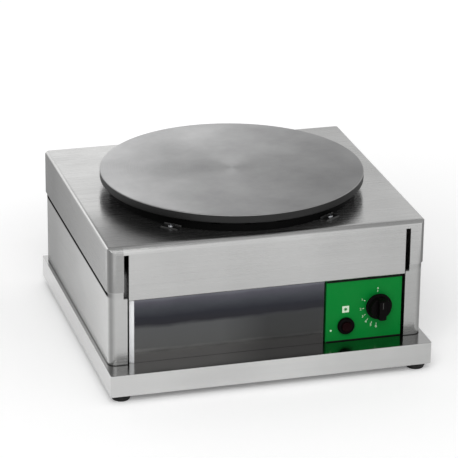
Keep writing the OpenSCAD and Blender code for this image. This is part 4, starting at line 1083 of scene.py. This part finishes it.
# %% Thread of the inlet
thread_tree, given = geometry_tree("pipe_thread", [
    ("Radius", FLOAT), ("Ridge", FLOAT), ("Turns", FLOAT), ("Length", FLOAT), ("Material", FINISH)])
spiral = add_node(thread_tree, "GeometryNodeCurveSpiral", {
    "Resolution": 48, "Rotations": given["Turns"], "Start Radius": given["Radius"], "End Radius": given["Radius"],
    "Height": given["Length"]})
upright = add_node(thread_tree, "GeometryNodeSetCurveNormal", {0: spiral.outputs[0]}, mode="Z_UP")
diamond = add_node(thread_tree, "GeometryNodeCurvePrimitiveCircle", {"Resolution": 4, "Radius": given["Ridge"]})
ridge = add_node(thread_tree, "GeometryNodeCurveToMesh", {
    0: upright.outputs[0], 1: diamond.outputs[0], "Fill Caps": True})
finish_tree(thread_tree, ridge.outputs[0], given["Material"])

THREAD_R, THREAD_L, THREAD_PITCH, THREAD_FROM = 10.4775, 15.0, 1.814, 30.0
RUN_OUT, RUN_OUT_TURNS = 2.2, 1.2  # left free at the thread's end, in millimetres and in turns
THREAD_ROOT, THREAD_TURNS = THREAD_R - THREAD_PITCH / 2, THREAD_L / THREAD_PITCH - RUN_OUT_TURNS
thread_mesh = run_tree("inlet_thread", thread_tree, point_mesh("thread_point", [(0, 0, 0)]),
                       radius=THREAD_ROOT * MM, ridge=THREAD_PITCH / 2 * MM, turns=THREAD_TURNS,
                       length=(THREAD_L - RUN_OUT) * MM, material=brass)
thread_mesh.transform(Matrix.Translation((0, 0, THREAD_FROM * MM)))
print("inlet thread: %.1f turns" % THREAD_TURNS)

# %% Gas inlet
SHANK_R, FLANGE_Z, FLANGE_T, INLET_BORE = 9.97, 27, 3, 6.3
INLET_L = INLET_OUT - INLET_IN
FLANGE_R = 13.97 / math.cos(math.pi / 6)
point_back = (Matrix.Translation((INLET_X * MM, INLET_IN * MM, INLET_Z * MM))
              @ Matrix.Rotation(math.radians(-90), 4, "X"))
inlet_turned = lathe("gas_inlet_turned", rounded([
    (0, 0), (SHANK_R, 0), (SHANK_R, FLANGE_Z), (THREAD_ROOT, FLANGE_Z), (THREAD_ROOT, INLET_L - 0.9), (8.7, INLET_L),
    (INLET_BORE, INLET_L), (INLET_BORE, 29), (0, 26)], 0.25, 3), 96)
flange = bmesh.new()
bmesh.ops.create_cone(flange, cap_ends=True, segments=6, radius1=FLANGE_R * MM, radius2=FLANGE_R * MM,
                      depth=FLANGE_T * MM, matrix=Matrix.Translation((0, 0, FLANGE_Z * MM))
                      @ Matrix.Rotation(math.radians(30), 4, "Z"))
bmesh.ops.bevel(flange, geom=flange.edges[:], offset=0.35 * MM, segments=2, profile=0.5, affect="EDGES")
inlet_mesh = joined("gas_inlet_skin", [inlet_turned, as_mesh("inlet_flange", flange), thread_mesh])
fit_turned("gas_inlet", inlet_mesh, point_back, brass)
print("gas inlet:", len(inlet_mesh.polygons), "faces")

# %% [markdown]
# ### Knob, bezel and button
# The gas knob is a moulding: a thin skirt, a drum and a bar to grip. The drum is turned; the bar is a cone with its
# sides cut away by two planes. All of it is built pointing up and then tipped forward, so that its axis runs along
# the valve. The igniter is a round button in a bezel. Both are turned, and the button's face is dished for a
# fingertip.

# %% Gas knob
KNOB_FRONT, KNOB_BACK = extent("gas_knob", Y)
KNOB_L = KNOB_BACK - KNOB_FRONT
BAR_FOOT, BAR_R, BAR_TOP_R, BAR_HALF, BAR_ROUND = 4.1, 16.9, 15, 5.5, 0.8
BAR_SHARP_OVER, KNOB_SMOOTH_UNDER = 0.6, math.radians(35)  # both in radians
BAR_L = KNOB_L - BAR_FOOT
tip_forward = Matrix.Rotation(math.radians(90), 4, "X")


def on_panel(x, y, z):
    return Matrix.Translation((x * MM, y * MM, z * MM)) @ tip_forward


knob_turned = lathe("knob_turned", rounded([
    (0, 3), (13, 3), (13, 0), (20, 0), (20, 4), (17.2, 4), (15.6, 13), (0, 13)], 0.7, 4))
bar = bmesh.new()
bmesh.ops.create_cone(bar, cap_ends=True, segments=96, radius1=BAR_R * MM, radius2=BAR_TOP_R * MM, depth=BAR_L * MM,
                      matrix=Matrix.Translation((0, 0, (BAR_FOOT + BAR_L / 2) * MM)))
for side in (-1, 1):
    cut = bmesh.ops.bisect_plane(bar, geom=bar.verts[:] + bar.edges[:] + bar.faces[:],
                                 plane_co=(side * BAR_HALF * MM, 0, 0), plane_no=(side, 0, 0), clear_outer=True)
    bmesh.ops.holes_fill(bar, edges=[e for e in cut["geom_cut"] if isinstance(e, bmesh.types.BMEdge)])
bmesh.ops.bevel(bar, geom=[e for e in bar.edges if e.calc_face_angle(0) > BAR_SHARP_OVER],
                offset=BAR_ROUND * MM, segments=3, profile=0.5, affect="EDGES", clamp_overlap=True)
knob_mesh = joined("gas_knob_skin", [knob_turned, as_mesh("knob_bar", bar)])
fit_turned("gas_knob", knob_mesh, on_panel(VALVE_X, KNOB_BACK, VALVE_Z), black_plastic, KNOB_SMOOTH_UNDER)
print("knob: front face at y = %.1f mm" % KNOB_FRONT)

# %% Worn line that shows where the knob points
POINTER = (1.0, 10, 0.1)  # width, length and thickness
POINTER_UP, POINTER_SUNK = 8.5, 0.02
pointer = bmesh.new()
bmesh.ops.create_cube(pointer, size=1, matrix=on_panel(VALVE_X, KNOB_FRONT + POINTER_SUNK, VALVE_Z + POINTER_UP)
                      @ Matrix.Diagonal([size * MM for size in POINTER] + [1]))
bmesh.ops.bevel(pointer, geom=pointer.edges[:], offset=0.02 * MM, segments=1, affect="EDGES")
pointer_mesh = as_mesh("knob_pointer", pointer)
finish_with(pointer_mesh, pale_mark)
add_piece("knob_pointer", pointer_mesh, "knob")
print("pointer: %.0f mm long" % POINTER[1])

# %% Bezel and button
BEZEL_R, BEZEL_BORE, BUTTON_R = 13, 7.58, 7.5
bezel_mesh = lathe("igniter_bezel_skin", rounded([
    (BEZEL_BORE, 0), (BEZEL_R, 0), (BEZEL_R, 4), (11.5, 6), (BEZEL_BORE, 6), (BEZEL_BORE, 0)], 0.5, 4), 128)
fit_turned("igniter_bezel", bezel_mesh, on_panel(IGNITER_X, PANEL_Y, IGNITER_Z), black_plastic)
button_mesh = lathe("igniter_button_skin", rounded([
    (0, -6), (BUTTON_R, -6), (BUTTON_R, 8.2), (6.6, 9.0), (3.5, 8.45), (0, 8.2)], 0.5, 4), 128)
fit_turned("igniter_button", button_mesh, on_panel(IGNITER_X, PANEL_Y, IGNITER_Z), red_plastic)
print("igniter: bezel and button")

# %% [markdown]
# ## Printed marks
# The scale round the knob is printed on the green panel in white: a mark for off at the top, then numbers that grow
# and move outwards with the flame as the knob turns to the left. Each number is a text curve that is made into a thin
# mesh. The ticks repeat, so Geometry Nodes put one tick on every point of a small mesh and turn it towards the knob's
# centre.

# %% Ticks round the knob
MARKS = ((0, 26.0), (67, 26.2), (101, 26.6), (127, 28.4), (146, 31.2), (163, 33.2), (178, 34.6))  # angle, radius
TICK_IN, PRINT_T = 4.2, 0.06


def round_knob(angle, radius, lift):
    """Place on the green panel, by the angle to the left of the top and the distance from the knob's axis."""
    a = math.radians(90 + angle)
    return (VALVE_X + radius * math.cos(a), PANEL_Y - lift, VALVE_Z + radius * math.sin(a))


tick_tree, given = geometry_tree("dial_ticks", [
    ("Length", FLOAT), ("Width", FLOAT), ("Thickness", FLOAT), ("Centre", "NodeSocketVector"), ("Material", FINISH)])
tick = block(tick_tree, given["Length"], given["Thickness"], given["Width"])
outward = add_node(tick_tree, "ShaderNodeVectorMath", {0: own_place(tick_tree)[0], 1: given["Centre"]},
                   operation="SUBTRACT")
ticks = copies(tick_tree, given["Geometry"], tick, aimed(tick_tree, outward.outputs[0], axis="X", pivot_axis="Y"))
finish_tree(tick_tree, ticks, given["Material"])

tick_mesh = run_tree("dial_ticks", tick_tree,
                     point_mesh("tick_points", [round_knob(a, r - TICK_IN, PRINT_T / 2) for a, r in MARKS]),
                     length=2.6 * MM, width=0.9 * MM, thickness=PRINT_T * MM,
                     centre=Vector(round_knob(0, 0, PRINT_T / 2)) * MM, material=white_print)
add_piece("dial_ticks", tick_mesh, "housing")
print("ticks:", len(MARKS))

# %% Numbers
SIZE_PER_DIGIT = 1.42  # the font's size when a digit is one high
NUMBER_H, NUMBER_GROWS = 3.2, 0.28


def text_mesh(words, height):
    curve = bpy.data.curves.new("text", "FONT")
    curve.body, curve.size = words, height * MM * SIZE_PER_DIGIT
    curve.align_x, curve.align_y = "CENTER", "CENTER"
    curve.extrude = PRINT_T * MM / 2
    carrier = bpy.data.objects.new("text", curve)
    scene.collection.objects.link(carrier)
    mesh = bpy.data.meshes.new_from_object(carrier.evaluated_get(bpy.context.evaluated_depsgraph_get()))
    bpy.data.objects.remove(carrier)
    bpy.data.curves.remove(curve)
    return mesh


numbers = []
for number, (angle, radius) in enumerate(MARKS):
    mesh = text_mesh(str(number), NUMBER_H + NUMBER_GROWS * number)
    mesh.transform(on_panel(*round_knob(angle, radius, PRINT_T / 2)))
    numbers.append(mesh)
number_mesh = joined("dial_numbers", numbers)
finish_with(number_mesh, white_print)
add_piece("dial_numbers", number_mesh, "housing")
print("numbers: 0 to", len(MARKS) - 1)

# %% [markdown]
# ### Spark sign and dot
# Beside the igniter stands a small white field with a spark in it, and a white dot marks the panel's left edge. Each
# is an outline in millimetres that is filled and raised by the thickness of the print.

# %% Printed shapes
def flat_shape(name, outline, x, z, lift):
    """Thin printed shape on the green panel from an outline in millimetres."""
    work = bmesh.new()
    face = work.faces.new([work.verts.new((px * MM, pz * MM, 0)) for px, pz in outline])
    raised = bmesh.ops.extrude_face_region(work, geom=[face])
    for item in raised["geom"]:
        if isinstance(item, bmesh.types.BMVert):
            item.co.z += PRINT_T * MM
    bmesh.ops.recalc_face_normals(work, faces=work.faces)
    mesh = as_mesh(name, work)
    mesh.transform(on_panel(x, PANEL_Y - lift, z))
    return mesh


def star(points, outer, inner):
    """Outline that goes out and in round a circle; with equal radii it is a round dot."""
    radii = [outer, inner] * points
    return [(r * math.sin(math.pi * i / points), r * math.cos(math.pi * i / points)) for i, r in enumerate(radii)]


SPARK_PLACE, DOT_PLACE, FIELD_HALF = (121.5, 95.5), (99, 63), 5.2
prints = (
    ("spark_field", [(x * FIELD_HALF, z * FIELD_HALF) for x, z in ((-1, -1), (1, -1), (1, 1), (-1, 1))],
     SPARK_PLACE, 0.0, white_print),
    ("spark_sign", star(8, 3.9, 1.5), SPARK_PLACE, PRINT_T, green_paint),
    ("panel_dot", star(16, 1.5, 1.5), DOT_PLACE, 0.0, white_print),
)
for name, outline, place, lift, finish in prints:
    print_mesh = flat_shape(name, outline, *place, lift)
    finish_with(print_mesh, finish)
    add_piece(name, print_mesh, "housing")
print("printed shapes:", len(prints))

# %% [markdown]
# ## Stage
# The object stands on a pale floor in a white room with a grey ceiling. A large lamp stands at the front left, and a
# low wide one at the back left, like a window. Reflections show the walls white and the ceiling grey, which is what
# makes a rolled edge read as round. Soft light is the same from everywhere and a little weaker, so colours come out
# as they are written. The floor keeps the object's shadow, and further away it glows a little more for the rays that
# make the picture, until it is as white as the walls.

# %% Floor
FLOOR_HALF = 30
GLOW_NEAR, GLOW_FAR = 0.15, 0.36  # the floor's own light, for rays that make the picture
FADE_FROM, FADE_TO = 0.55, 1.3    # metres from the object's middle
floor_mesh = bpy.data.meshes.new("floor")
floor_mesh.from_pydata([(x * FLOOR_HALF, y * FLOOR_HALF, 0) for x, y in ((-1, -1), (1, -1), (1, 1), (-1, 1))], [],
                       [(0, 1, 2, 3)])
floor = bpy.data.objects.new("floor", floor_mesh)
scene.collection.objects.link(floor)
floor_paint, floor_tree, floor_shader = start_material(
    "floor_paint", Base_Color=grey(0.93), Roughness=0.9, Emission_Color=grey(1.0))
floor_mesh.materials.append(floor_paint)


def seen_rays(tree):
    """One for rays that show a picture: from the camera, or from a mirror or glass that the camera sees."""
    path = add_node(tree, "ShaderNodeLightPath")
    return math_node(tree, "MAXIMUM", path.outputs["Is Camera Ray"], math_node(
        tree, "MAXIMUM", path.outputs["Is Glossy Ray"], path.outputs["Is Transmission Ray"]))


away = add_node(floor_tree, "ShaderNodeVectorMath", {0: object_coords(floor_tree)}, operation="LENGTH")
glow = spread(floor_tree, away.outputs["Value"], GLOW_NEAR, GLOW_FAR, FADE_FROM, FADE_TO)
floor_tree.links.new(times(floor_tree, seen_rays(floor_tree), glow), floor_shader.inputs["Emission Strength"])
print("floor: %d m wide" % (2 * FLOOR_HALF))

# %% Sky
SOFT_LIGHT, WALLS, CEILING = 0.62, 1.0, 0.30
CEILING_FROM, CEILING_FULL = 0.45, 0.75  # how steeply a direction rises where the ceiling starts and is full
world = bpy.data.worlds.new("sky")
world.use_nodes = True
scene.world = world
sky = world.node_tree
sky.nodes.clear()
direction = add_node(sky, "ShaderNodeTexCoord").outputs["Generated"]
rise = add_node(sky, "ShaderNodeSeparateXYZ", {0: direction}).outputs[2]
room = spread(sky, rise, WALLS, CEILING, CEILING_FROM, CEILING_FULL)
strength = mix_value(sky, seen_rays(sky), SOFT_LIGHT, room)
backdrop = add_node(sky, "ShaderNodeBackground", {"Color": grey(1.0), "Strength": strength})
add_node(sky, "ShaderNodeOutputWorld", {"Surface": backdrop.outputs[0]})
print("sky: walls %.2f, ceiling %.2f" % (WALLS, CEILING))

# %% Lamps
def soft_lamp(name, place, target, width, height, power):
    lamp = bpy.data.lights.new(name, "AREA")
    lamp.shape, lamp.size, lamp.size_y, lamp.energy = "RECTANGLE", width, height, power
    made = bpy.data.objects.new(name, lamp)
    made.location = place
    made.rotation_euler = (Vector(target) - Vector(place)).to_track_quat("-Z", "Y").to_euler()
    scene.collection.objects.link(made)


soft_lamp("window_lamp", place=(-0.30, 1.25, 0.48), target=(-0.2, 0, 0.25), width=1.2, height=0.60, power=1.6)
soft_lamp("front_lamp", place=(-0.9, -2.6, 2.6), target=(0, 0, 0.1), width=2.6, height=2.2, power=60)
scene.view_settings.view_transform = "Standard"
print("lamps: 2")
